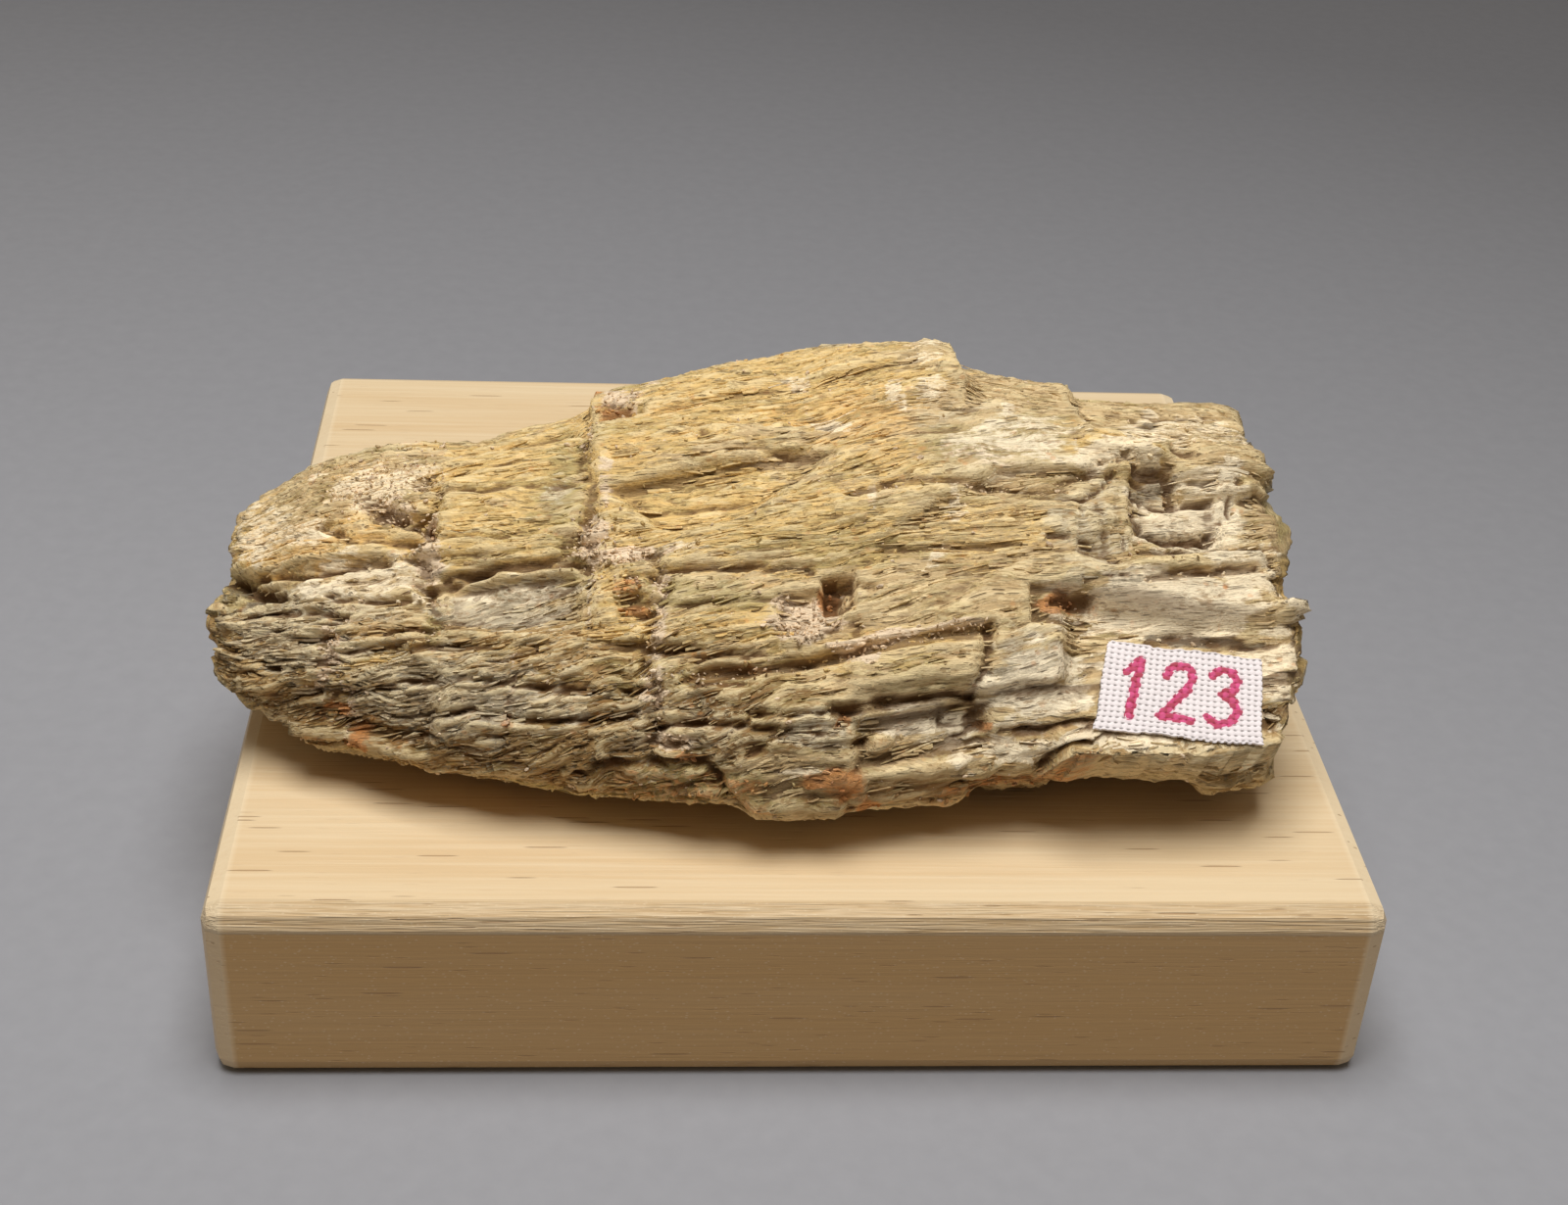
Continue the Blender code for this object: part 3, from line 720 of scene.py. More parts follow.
# the girth, in shares of its full size, from which an end cap passes into the side
CAP_FADE_START = 0.72
CAP_FADE_LENGTH = 0.24

# name: middle in picture pixels, half width, half height, soft share, strength
CALM_SPOTS = {
    "flat panel": (500, 598, 70, 26, 0.35, 1.0),
    "smooth plate": (1060, 705, 66, 54, 0.25, 1.0),
    "pale ledge": (1025, 450, 90, 36, 0.5, 1.0),
    "striped panel": (1115, 545, 45, 40, 0.4, 1.0),
    "right plate": (1210, 612, 84, 26, 0.3, 1.0),
    "sunk panel": (930, 738, 55, 18, 0.3, 1.0),
    "recess": (1215, 540, 44, 34, 0.5, 1.0),
    "right of centre": (1000, 600, 60, 20, 0.5, 1.0),
    "long gap": (600, 500, 90, 30, 0.6, 1.0),
    "above the label": (1240, 640, 50, 10, 0.3, 1.0),
    "before the ledge": (1120, 425, 60, 20, 0.5, 1.0),
    "left middle": (350, 592, 70, 26, 0.4, 0.6),
}
FIBROUS_SPOTS = {
    "left end": (275, 570, 70, 80, 0.5, 1.0),
    "left middle": (350, 640, 90, 60, 0.5, 1.0),
    "low strip": (1150, 765, 160, 24, 0.4, 1.0),
    "low middle": (700, 740, 150, 50, 0.5, 1.0),
}


def spots_share(spots):
    """The spots of a table added up, and held between 0 and 1."""
    total = 0
    for *place, strength in spots.values():
        total = total + strength * spot(*place)
    return np.clip(total, 0, 1)


def fibre_bend(x, share, coarse_share):
    """How far, in shares of the girth, a fibre swings aside: long bends and small waves."""
    across = share * NOMINAL_GIRTH
    bend = LONG_BEND * noise(on_plane(x / 9, across / 5), 51)
    bend = bend + SHORT_BEND * noise(on_plane(x / 3.2, across / 1.6), 52)
    return bend + COARSE_BEND * coarse_share * noise(on_plane(x / 2.2, across / 3.0), 57)


hidden_mix = smooth(0.5 + 1.4 * noise(grid_base / HIDDEN_PATCH, 61))
front_band = window((grid_g + 0.25) % 1, FRONT_BAND)
low_left = 1 - smooth((grid_x - LOW_LEFT_END) / BAND_FADE)
low_left = low_left * window(from_below(grid_g), LOW_LEFT_BAND)
low_strip = LOW_STRIP_SHARE * smooth((grid_x - LOW_STRIP_START) / BAND_FADE)
low_strip = low_strip * window(from_below(grid_g), LOW_STRIP_BAND)
coarse = np.clip(low_left + low_strip + HIDDEN_SHARE * hidden_mix * (1 - front_band), 0, 1)
bent = grain_share(grid_x, grid_g)
bent = bent + fibre_bend(grid_x, bent, coarse)
bent_mm = bent * NOMINAL_GIRTH
calm = spots_share(CALM_SPOTS)
fibrous = spots_share(FIBROUS_SPOTS)
along_side = smooth((grid_size - CAP_FADE_START) / CAP_FADE_LENGTH)

lumps = LUMP_HEIGHT * noise(grid_base / LUMP_SIZE, 3)
flats = PLATE_HEIGHT * plates(grid_x, fibre, PLATE_LENGTH, PLATES_AROUND, 11, PLATE_EDGE)
main_relief = lumps + flats * along_side + hollow_relief(grid_x, grid_g)
main_relief = main_relief + crack_relief(grid_x, grid_g) * along_side
main_relief = main_relief + step_relief(grid_x, grid_g)

ledges = plates(grid_x, bent, *LEDGES)
slivers = plates(grid_x, bent, *SLIVERS)
hairs = plates(grid_x, bent, *HAIRS)
wavy_mm = bent_mm + 0.7 * noise(on_plane(grid_x / 2.4, bent_mm / 2.2), 56)
waves = 1 - 2.4 * np.abs(noise(on_plane(grid_x / 6.0, wavy_mm / 0.80), 53))
grain = noise(grid_base / 0.8, 54) + 0.6 * noise(grid_base / 0.4, 55)

# form, its height in millimetres, more where coarse, more where fibrous, share lost where calm
FINE_FORMS = [
    (ledges, 0.15, 0.12, 0.00, 0.75),
    (slivers, 0.16, 0.10, 0.12, 0.65),
    (hairs, 0.12, 0.03, 0.12, 0.40),
    (waves, 0.03, 0.15, 0.00, 0.60),
]
fine_relief = 0
for form, amount, coarse_more, fibrous_more, calm_loss in FINE_FORMS:
    amount = amount + coarse_more * coarse + fibrous_more * fibrous
    fine_relief = fine_relief + form * amount * (1 - calm_loss * calm)
end_lumps = noise(grid_base / (1.6, 1.3, 1.1), 58) + 0.5 * noise(grid_base / (0.8, 0.6, 0.5), 59)
END_LUMP_HEIGHT = 0.62
fine_relief = fine_relief * along_side + END_LUMP_HEIGHT * end_lumps * (1 - along_side)
fine_relief = fine_relief + grain * (0.055 + 0.02 * coarse)

front_relief = 0
for width, depth, corners in FRONT_CRACKS.values():
    front_relief = front_relief - depth * front_line(width, corners)
for *place, depth in FRONT_PITS.values():
    front_relief = front_relief - depth * spot(*place, PIT_SOFT)
for *place, height in FRONT_LUMPS.values():
    front_relief = front_relief + height * spot(*place, LUMP_SOFT)

STRIPED_PANEL = (1118, 540, 44, 40)
STRIPE_HEIGHT = 0.42
STRIPE_LEAN = 0.22
STRIPE_SIZE = (4.2, 45)
stripe_place = on_plane((px - STRIPE_LEAN * py) / STRIPE_SIZE[0], py / STRIPE_SIZE[1])
stripes = noise(stripe_place, 75) + 0.5 * noise(stripe_place * (2, 2, 1), 76)
front_relief = front_relief + STRIPE_HEIGHT * stripes * spot(*STRIPED_PANEL, LUMP_SOFT)

relief = main_relief + fine_relief + front_relief
print("relief from", relief.min().round(2), "to", relief.max().round(2), "mm")

# %% Move the grid
BUNDLE_ROWS = 40
BUNDLE_SEED = 9
BUNDLE_EDGE = 0.16
BUNDLE_HEIGHT = 0.85
BREAK_REACH = 7.0
LABEL_WIDTH = 17.0
LABEL_HEIGHT = 10.0
LABEL_MIDDLE = np.array([38.9, -41.1, 37.3])
LABEL_AZIMUTH = math.radians(6)
LABEL_RISE = math.radians(60)
LABEL_TURN = math.radians(-10)
LABEL_MARGIN = 2.6
LABEL_REACH = 6.0


def label_axes():
    """The label facet's own directions: along the label, up the label, and out of the facet."""
    flat = math.cos(LABEL_RISE)
    out = np.array([math.sin(LABEL_AZIMUTH) * flat, -math.cos(LABEL_AZIMUTH) * flat,
                    math.sin(LABEL_RISE)])
    level = np.array([math.cos(LABEL_AZIMUTH), math.sin(LABEL_AZIMUTH), 0.0])
    rise = np.cross(out, level)
    across = math.cos(LABEL_TURN) * level + math.sin(LABEL_TURN) * rise
    return across, np.cross(out, across), out


label_across, label_up, label_out = label_axes()


def press_label_facet(surface, proud_detail):
    """Flatten the stone under the label, fading back past its edges; fine detail stays there."""
    local = surface - LABEL_MIDDLE
    u = np.abs(local @ label_across) - LABEL_WIDTH / 2
    v = np.abs(local @ label_up) - LABEL_HEIGHT / 2
    proud = local @ label_out
    past = np.maximum(np.maximum(u, v), 0)
    share = 1 - smooth((past - LABEL_MARGIN) / LABEL_MARGIN)
    share = share * (np.abs(proud) < LABEL_REACH)
    kept = np.clip(proud_detail, -1, 0.2) * smooth(past / 1.2)
    return surface - ((proud - kept) * share)[:, None] * label_out


stone_grid = grid_base + grid_out * (relief * side)[:, None]
bundle_y = grid_base[:, 1] / 2.3 + 0.5 * noise(grid_base / (30, 3, 3), 8)
bundle_turns = grid_base[:, 2] / 1.7 / BUNDLE_ROWS
bundles = plates(bundle_y, bundle_turns, 1.0, BUNDLE_ROWS, BUNDLE_SEED, BUNDLE_EDGE)
broken = BREAK_HEIGHT * noise(grid_base / BREAK_SIZE, 5)
broken = broken + BUNDLE_HEIGHT * bundles + 0.30 * noise(grid_base / (40, 0.9, 0.6), 7)
broken = broken + (0.8 * noise(grid_base / (40, 2.2, 1.5), 10) + 0.3 * bundles) * (1 - along_side)
from_end = np.minimum(grid_x - LEFT_TIP, RIGHT_TIP - grid_x)
ragged_reach = 1 - smooth(from_end / BREAK_REACH)
stone_grid[:, 0] += np.sign(grid_t - 0.5) * broken * ragged_reach
stone_grid = press_label_facet(stone_grid, fine_relief + front_relief)
stone_grid[:, 2] = np.maximum(stone_grid[:, 2], BLOCK_TOP + GAP)
print("stone", stone_grid.min(0).round(1), "to", stone_grid.max(0).round(1), "mm")

# %% [markdown]
# ## Stains, painted shade and painted light on the stone
#
# Ochre, olive, grey, pink clay and rust each get a mask on the grid's points, stored as an
# attribute; so do pale marks, partly painted light on places in shade, and painted shade in
# recesses, holes and under ledges. The shader mixes the tints through these masks and breaks their
# edges with finer noise. The masks of the front follow the photograph; those of the back follow
# noise alone.

# %% Stain masks
# tint or painted shade: {name: (middle in pixels, half width, half height, turn in degrees,
# strength)}
FRONT_TINTS_AND_SHADE = {
    "yellow": {
        "top middle": (740, 400, 190, 50, -8, 0.9),
        "top left": (560, 470, 130, 45, -8, 0.9),
        "upper left": (470, 545, 120, 40, -5, 0.8),
        "upper middle": (700, 520, 130, 60, 0, 0.9),
        "left end, upper fibres": (256, 552, 44, 46, 0, 0.8),
        "right of the long gap": (640, 620, 45, 60, 0, 0.6),
        "centre": (830, 540, 130, 40, 0, 0.6),
        "ledge by the recess": (1165, 470, 30, 14, 0, 0.9),
        "left of that ledge": (1120, 455, 50, 16, -10, 0.7),
        "thin plate low on the left": (385, 672, 46, 10, -14, 0.8),
        "middle band": (760, 640, 90, 24, 0, 0.6),
        "raised plate": (900, 660, 110, 26, -10, 0.5),
        "upper right of centre": (900, 480, 60, 30, 0, 0.6),
        "below the peak": (890, 385, 60, 25, 0, 0.6),
        "right top": (1240, 430, 50, 20, 0, 0.4),
        "right middle": (1000, 540, 120, 40, 0, 0.45),
    },
    "orange": {
        "sandy slope": (375, 492, 62, 24, -14, 0.6),
        "top right": (872, 420, 70, 26, 0, 0.8),
        "top right, lower": (900, 455, 60, 18, 0, 0.5),
        "top left": (680, 430, 60, 20, -10, 0.5),
        "beside the step": (620, 470, 40, 25, 0, 0.4),
        "left slope": (310, 556, 100, 36, -10, 0.66),
        "above the gap": (470, 470, 60, 12, -6, 0.3),
        "before the ledge": (1100, 440, 50, 24, 0, 0.4),
        "centre line": (780, 596, 60, 18, 0, 0.3),
        "speck on the smooth plate": (1067, 662, 17, 6, 0, 0.9),
    },
    "olive": {
        "long gap": (575, 495, 26, 60, 0, 0.6),
        "centre band": (712, 609, 70, 16, 0, 0.6),
        "pale ledge": (990, 452, 60, 30, 0, 0.45),
        "pale ledge, right": (1050, 445, 60, 30, 0, 0.45),
        "panel, left edge": (440, 640, 10, 30, 0, 0.7),
        "low middle": (780, 720, 110, 26, 0, 0.3),
        "bottom plates": (720, 800, 90, 18, 0, 0.7),
        "left notch": (240, 605, 24, 22, 0, 0.6),
        "raised plate": (930, 690, 70, 18, 0, 0.35),
        "left top edge": (350, 462, 70, 10, -8, 0.5),
        "panel, right edge": (590, 590, 16, 40, 0, 0.4),
        "right of centre": (850, 560, 120, 16, 0, 0.35),
        "below the brown hollow": (660, 690, 60, 24, 0, 0.4),
        "low strip": (1100, 770, 160, 16, 0, 0.3),
        "top edge": (640, 440, 80, 12, -12, 0.4),
    },
    "grey": {
        "flat panel": (510, 612, 75, 24, 0, 0.9),
        "left end, low fibres": (300, 640, 70, 50, 10, 0.6),
        "low left": (460, 710, 130, 46, 6, 0.6),
        "smooth plate": (1055, 690, 58, 44, 0, 0.7),
        "sunk panel": (940, 738, 70, 20, 0, 0.8),
        "recess": (1240, 530, 56, 40, 0, 0.7),
        "striped panel": (1120, 540, 50, 50, 0, 0.5),
        "left middle": (410, 580, 60, 14, -6, 0.3),
        "left middle, lower": (360, 622, 60, 12, 0, 0.4),
        "right plate": (1190, 610, 100, 22, 0, 0.35),
        "top ledge": (980, 420, 70, 20, 0, 0.3),
        "low middle": (690, 740, 90, 40, 0, 0.3),
        "gap, lower end": (570, 500, 16, 24, 0, 0.5),
        "dot by the rusty pit": (1095, 589, 10, 9, 0, 1.0),
        "under the label": (1220, 750, 70, 20, 0, 0.4),
        "low middle block": (850, 745, 50, 24, 0, 0.5),
        "low strip": (1200, 780, 110, 12, 0, 0.4),
        "pale ledge": (1030, 470, 80, 36, 0, 0.3),
    },
    # pale: real pale marks, streaks and nodules, and painted light on the right plate, low strip,
    # recess and sunk panel, which lie in shade
    "pale_and_painted_light": {
        "right plate": (1205, 614, 100, 34, 0, 1.0),
        "low strip": (1150, 762, 150, 17, -3, 1.0),
        "left end": (272, 545, 60, 34, 0, 0.62),
        "sandy slope": (385, 490, 62, 22, -14, 0.62),
        "pale ledge": (1030, 448, 84, 30, 0, 0.5),
        "smooth plate": (1064, 700, 62, 50, 0, 0.6),
        "right top": (1200, 432, 80, 26, 0, 0.5),
        "flat panel": (520, 600, 60, 22, 0, 0.35),
        "left middle": (370, 590, 80, 24, -6, 0.6),
        "clay lens on top": (853, 436, 19, 6, 0, 0.9),
        "streak near the peak": (912, 400, 9, 14, 0, 0.7),
        "streak near the peak 2": (922, 412, 5, 12, 0, 0.6),
        "patch below the peak": (951, 397, 15, 9, 0, 0.6),
        "upright streak": (891, 512, 5, 22, 0, 0.6),
        "upright streak 2": (974, 512, 6, 16, 0, 0.6),
        "slanting streak": (955, 568, 7, 26, 35, 0.55),
        "streak on the ledge": (1030, 415, 9, 14, 0, 0.6),
        "top fleck": (815, 391, 16, 5, 0, 0.6),
        "ledge edge": (1140, 460, 46, 13, -12, 0.8),
        "ledge corner": (1170, 472, 18, 7, 0, 0.8),
        "panel band": (520, 602, 60, 10, 0, 0.5),
        "peak": (944, 362, 18, 12, 0, 0.5),
        "panel, right edge": (600, 612, 3, 28, 0, 0.7),
        "clay spill": (660, 690, 12, 12, 0, 0.7),
        "bottom line": (813, 788, 34, 4, -5, 0.7),
        "above the label": (1200, 660, 60, 4, 0, 0.4),
        "white nodule": (425, 607, 7, 7, 0, 1.0),
        "left of the label": (1040, 720, 40, 14, 0, 0.3),
        "gap, top lip": (660, 563, 50, 6, -4, 0.7),
        "low strip edge": (1180, 790, 70, 6, 0, 0.3),
        "groove lip": (905, 655, 40, 5, -14, 0.7),
        "left shoulder": (250, 520, 18, 12, 0, 0.4),
        "right knob": (1262, 580, 44, 40, 0, 0.7),
        "right end": (1290, 690, 26, 60, 0, 0.7),
        "recess": (1215, 520, 64, 38, 0, 0.8),
        "sunk panel": (935, 740, 60, 20, 0, 0.8),
    },
    "clay": {
        "vein": (335, 655, 8, 32, 0, 1.0),
        "vein, left branch": (322, 700, 5, 16, 35, 0.9),
        "vein, right branch": (352, 712, 4, 26, -15, 0.9),
        "patch by the deep hole": (824, 632, 33, 24, 0, 1.0),
        "gap lip": (640, 565, 46, 8, -4, 0.8),
        "long gap": (605, 545, 12, 26, 10, 0.8),
        "right of the brown hollow": (672, 640, 9, 60, 5, 0.6),
        "groove": (900, 652, 50, 7, -12, 0.9),
        "spill": (668, 700, 14, 20, 0, 0.7),
        "panel joint": (438, 560, 12, 40, 0, 0.6),
        "crumbly pit": (400, 515, 26, 10, 0, 0.5),
        "low spill": (692, 760, 22, 12, 0, 0.7),
        "pink thread": (522, 710, 3, 42, 5, 0.8),
        "groove, right": (970, 640, 36, 5, -8, 0.9),
        "gap top": (618, 500, 8, 36, 0, 0.5),
        "top edge": (600, 445, 6, 22, 0, 0.4),
        "red pit rim": (628, 410, 26, 6, 0, 0.6),
        "groove start": (880, 672, 20, 9, 0, 0.6),
        "pale ledge": (1010, 470, 60, 14, 0, 0.3),
    },
    "rust": {
        "left belly": (338, 727, 14, 9, 0, 0.9),
        "left belly 2": (370, 752, 10, 12, 30, 0.7),
        "brown hollow": (652, 622, 14, 9, 0, 0.7),
        "deep hole": (847, 604, 11, 15, 10, 0.9),
        "block beside the cave": (861, 737, 7, 11, 0, 1.0),
        "crust at the bottom": (857, 797, 32, 12, 0, 0.8),
        "crust at the bottom 2": (884, 812, 14, 6, 0, 0.8),
        "rusty pit": (1085, 611, 30, 8, -6, 0.9),
        "low joint": (700, 772, 16, 5, 0, 0.9),
        "nodule at the plate end": (1008, 743, 6, 6, 0, 0.9),
        "bottom plates": (700, 800, 110, 14, 2, 0.42),
        "thin red line": (1246, 610, 2, 24, 0, 0.7),
        "small hollow": (640, 600, 16, 8, 0, 0.5),
        "red pit on top": (628, 418, 20, 6, 0, 0.7),
        "upper left pit": (430, 540, 14, 8, 0, 0.5),
        "thread foot": (520, 738, 8, 10, 0, 0.5),
        "ochre nodule": (900, 759, 18, 10, 0, 0.4),
        "middle groove": (770, 680, 50, 4, 0, 0.4),
        "bottom edge": (1040, 800, 90, 8, -4, 0.5),
        "left bottom edge": (300, 740, 30, 6, 14, 0.6),
    },
    # brown: darker towards the bottom of the seen front
    "brown": {
        "low middle": (740, 735, 110, 44, 0, 1.0),
        "bottom plates": (650, 795, 90, 20, 4, 0.8),
        "low left": (420, 745, 130, 26, 8, 0.8),
        "belly": (560, 730, 110, 34, 0, 0.7),
        "left belly": (300, 725, 50, 24, 20, 0.6),
        "bottom edge": (900, 805, 120, 16, -6, 0.6),
        "below the raised plate": (860, 745, 40, 22, 0, 0.5),
    },
    # painted shade: darker in recesses, holes, grooves and under ledges, and under the panel's roof
    "painted_shade": {
        "recess floor": (1204, 536, 40, 8, 0, 0.5),
        "recess top": (1183, 490, 24, 12, 0, 0.6),
        "recess side": (1238, 520, 12, 20, 0, 0.3),
        "arch above the label": (1215, 648, 34, 7, 8, 0.9),
        "arch, right": (1270, 655, 28, 5, 0, 0.9),
        "right top pit": (1175, 423, 10, 5, 0, 0.8),
        "right top pit 2": (1183, 448, 6, 7, 0, 0.8),
        "left notch": (248, 602, 26, 8, 10, 0.8),
        "deep hole": (850, 600, 9, 11, 0, 0.6),
        "upper left pits": (410, 535, 30, 10, 14, 0.5),
        "brown hollow": (652, 625, 10, 7, 0, 0.6),
        "little hole": (524, 641, 6, 5, 0, 0.9),
        "right foot": (1300, 738, 14, 14, 0, 0.5),
        "rusty pit": (1130, 592, 40, 5, 0, 0.5),
        "middle groove": (690, 672, 60, 4, 0, 0.4),
        "panel, right part": (560, 610, 20, 24, 0, 0.35),
        "under the raised plate": (870, 728, 22, 6, 0, 0.5),
        "flakes": (1110, 555, 22, 9, 30, 0.4),
        "roof of the panel": (480, 577, 60, 4, -6, 0.6),
    },
}


def stain(name, soft=0.45):
    """A mask of a tint or painted shade: the strongest of its spots on the front, none elsewhere."""
    mask = 0 * grid_x
    for *place, turn_degrees, strength in FRONT_TINTS_AND_SHADE[name].values():
        mask = np.maximum(mask, strength * spot(*place, soft, turn_degrees))
    return mask


def patchy(seed, size, share):
    """A mask of patches for the unseen sides: noise above a level set by the share wanted."""
    field = noise(grid_base / size, seed) + 0.4 * noise(grid_base / (np.array(size) / 3), seed + 1)
    return smooth((field - 0.7 + 1.4 * share) / 0.5) * (1 - seen)


# tint: strength, then the patches' seed, size in millimetres and share of the surface
HIDDEN_STAINS = {
    "yellow": (0.8, 81, (20, 9, 7), 0.5),
    "orange": (0.6, 83, (14, 8, 6), 0.35),
    "olive": (0.6, 85, (18, 6, 6), 0.4),
    "grey": (0.7, 87, (22, 7, 7), 0.45),
    "clay": (0.7, 89, (3, 6, 6), 0.12),
    "rust": (0.7, 91, (7, 5, 4), 0.14),
    "brown": (0.6, 97, (18, 8, 6), 0.3),
}
masks = {name: stain(name) for name in FRONT_TINTS_AND_SHADE}
for name, (strength, *patches) in HIDDEN_STAINS.items():
    masks[name] = np.maximum(masks[name], strength * patchy(*patches))
underside = smooth((0.35 - (stone_grid[:, 2] - BLOCK_TOP) / 9) * 2) * (grid_out[:, 2] < 0.2)
masks["rust"] = np.maximum(masks["rust"], 0.45 * underside * smooth(0.6 + noise(grid_base / 3, 93)))
# sunk: how deep the fine relief lies; the finish paints shade into these hollows
sunk = smooth(-(fine_relief + front_relief) / 0.9)


def local_mean(values, rows, columns):
    """The mean over the grid's neighbours, so many rows and columns to each side."""
    sheet = values.reshape(ROWS, COLUMNS)
    padded = np.pad(sheet, ((rows, rows), (0, 0)), mode="edge")
    sheet = sum(padded[k:k + ROWS] for k in range(2 * rows + 1)) / (2 * rows + 1)
    turned = range(-columns, columns + 1)
    return (sum(np.roll(sheet, k, axis=1) for k in turned) / len(turned)).ravel()


def sunk_below(rows, columns, depth):
    """How far each point lies below the mean around it, in shares of a depth, from -1 to 1."""
    return np.clip((local_mean(relief, rows, columns) - relief) / depth, -1, 1)


# valley: how far each point lies below the surface round it; the finish paints shade from it in the
# valleys
BROAD_VALLEY_SHARE = 0.3
CAP_VALLEY_SHARE = 0.25
valley = sunk_below(2, 4, 0.30) * 0.7 + BROAD_VALLEY_SHARE * sunk_below(5, 10, 0.5)
valley = valley * (CAP_VALLEY_SHARE + 0.75 * along_side)
print("valley from", valley.min().round(2), "to", valley.max().round(2))

# %% Put the stone into a mesh


def new_mesh(name, points, faces):
    """A mesh from points in millimetres and the corners of its faces."""
    mesh = bpy.data.meshes.new(name)
    mesh.from_pydata((points * MM).tolist(), [], faces)
    mesh.update()
    return mesh


def grid_mesh(name, points, rows, columns, tips):
    """A closed mesh: quads between rows that run round, and a fan of triangles at each tip."""
    index = np.arange(rows * columns).reshape(rows, columns)
    after = np.roll(index, -1, axis=1)
    quads = np.stack([index[:-1], index[1:], after[1:], after[:-1]], -1).reshape(-1, 4)
    first, last = rows * columns, rows * columns + 1
    start = [(first, a, b) for a, b in zip(index[0], after[0])]
    end = [(last, b, a) for a, b in zip(index[-1], after[-1])]
    mesh = new_mesh(name, np.vstack([points, tips]), quads.tolist() + start + end)
    mesh.shade_smooth()
    return mesh


def add_numbers(mesh, name, kind, values):
    """Store values on a mesh's points as an attribute."""
    layer = mesh.attributes.new(name, kind, "POINT")
    key = "vector" if kind == "FLOAT_VECTOR" else "value"
    layer.data.foreach_set(key, np.ascontiguousarray(values, dtype=np.float32).ravel())


def add_piece(name, mesh):
    """Put a mesh into the scene at the origin; every piece here rides on the one body."""
    piece = bpy.data.objects.new(name, mesh)
    bpy.context.scene.collection.objects.link(piece)
    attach(piece, "root")
    return piece


tip_t = np.array([0.0, 1.0])
tip_points = envelope(tip_t, np.array([0.2, 0.2]))
tip_points[0] = stone_grid[:COLUMNS].mean(0)
tip_points[1] = stone_grid[-COLUMNS:].mean(0)
stone_mesh = grid_mesh("fibrous_stone", stone_grid, ROWS, COLUMNS, tip_points)


def with_tips(values):
    """Values for the grid's points and, from the nearest rows, for the two tips."""
    first = values[:COLUMNS].mean(0, keepdims=True)
    last = values[-COLUMNS:].mean(0, keepdims=True)
    return np.concatenate([values, first, last])


PACKS = {
    "stain_a": ("yellow", "orange", "olive"),
    "stains_and_painted_light": ("grey", "pale_and_painted_light", "clay"),
    "rust_and_painted_shade": ("rust", "painted_shade", None),
}
# the third part of the last pack is the hollows' painted shade
masks[None] = sunk
packed = [np.stack([masks[name] for name in names], -1) for names in PACKS.values()]


def write_looks(mesh, packs, **numbers):
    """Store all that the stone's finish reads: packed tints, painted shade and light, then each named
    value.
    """
    for name, values in [*zip(PACKS, packs), *numbers.items()]:
        add_numbers(mesh, name, "FLOAT_VECTOR" if np.ndim(values) == 2 else "FLOAT", values)


round_way = envelope(grid_t, grid_g + 0.01) - envelope(grid_t, grid_g - 0.01)
round_way[:, 0] = 0
round_way /= np.maximum(np.linalg.norm(round_way, axis=1, keepdims=True), 1e-6)
swung = (grid_g - bent) * NOMINAL_GIRTH * along_side
fibre_place = stone_grid - swung[:, None] * round_way
write_looks(stone_mesh, [with_tips(values) for values in packed],
            fibre_place=with_tips(fibre_place), coarse=with_tips(coarse),
            valley=with_tips(valley), own_tone=with_tips(0.5 + 0 * valley),
            stain_low=with_tips(masks["brown"]))
stone = add_piece("fibrous_stone", stone_mesh)
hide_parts("specimen")
print("stone faces:", len(stone_mesh.polygons))

# %% [markdown]
# ## Slivers and crumbs
#
# Close up, the stone is a thatch of loose splinters a few millimetres long, and its cracks hold
# crumbs of clay. They could be bumps in the finish, but real slivers stand free, end bluntly and
# cast small shadows, so they are meshes: thousands of tapered bars that follow the surface along
# the fibres, and small lumps scattered where clay, rust and cracks are.

# %% Read the surface between grid points
cracked = np.clip(-(crack_relief(grid_x, grid_g) + front_relief) / 0.5, 0, 1)
singles = np.stack([coarse, calm, cracked, masks["brown"]], -1)
stone_sheet = np.concatenate([stone_grid, *packed, singles], -1).reshape(ROWS, COLUMNS, -1)
# what stands where in the sheet's last axis
SHEET_PLACE = slice(0, 3)
SHEET_PACKS = (slice(3, 6), slice(6, 9), slice(9, 12))
SHEET_CLAY = 8
SHEET_COARSE, SHEET_CALM, SHEET_CRACKED, SHEET_LOW = 12, 13, 14, 15
row_x = grid_base[:, 0].reshape(ROWS, COLUMNS).mean(1)


def sample(sheet, row, column):
    """Values at fractional rows and columns, blended from the four nearest grid points."""
    r0 = np.clip(np.floor(row).astype(int), 0, ROWS - 2)
    c0 = np.floor(column).astype(int)
    fr = np.clip(row - r0, 0, 1)[:, None]
    fc = (column - c0)[:, None]
    c1 = (c0 + 1) % COLUMNS
    c0 = c0 % COLUMNS
    near = sheet[r0, c0] * (1 - fc) + sheet[r0, c1] * fc
    far = sheet[r0 + 1, c0] * (1 - fc) + sheet[r0 + 1, c1] * fc
    return near * (1 - fr) + far * fr


def grid_rows(x):
    """The fractional row at a place along the stone."""
    return np.interp(x, row_x, np.arange(ROWS))


def grid_columns(share):
    """The fractional column at a share of the girth."""
    turned = (share - SEEN_START) % 1 + SEEN_START
    return np.interp(turned, np.append(column_g, SEEN_START + 1), np.arange(COLUMNS + 1))


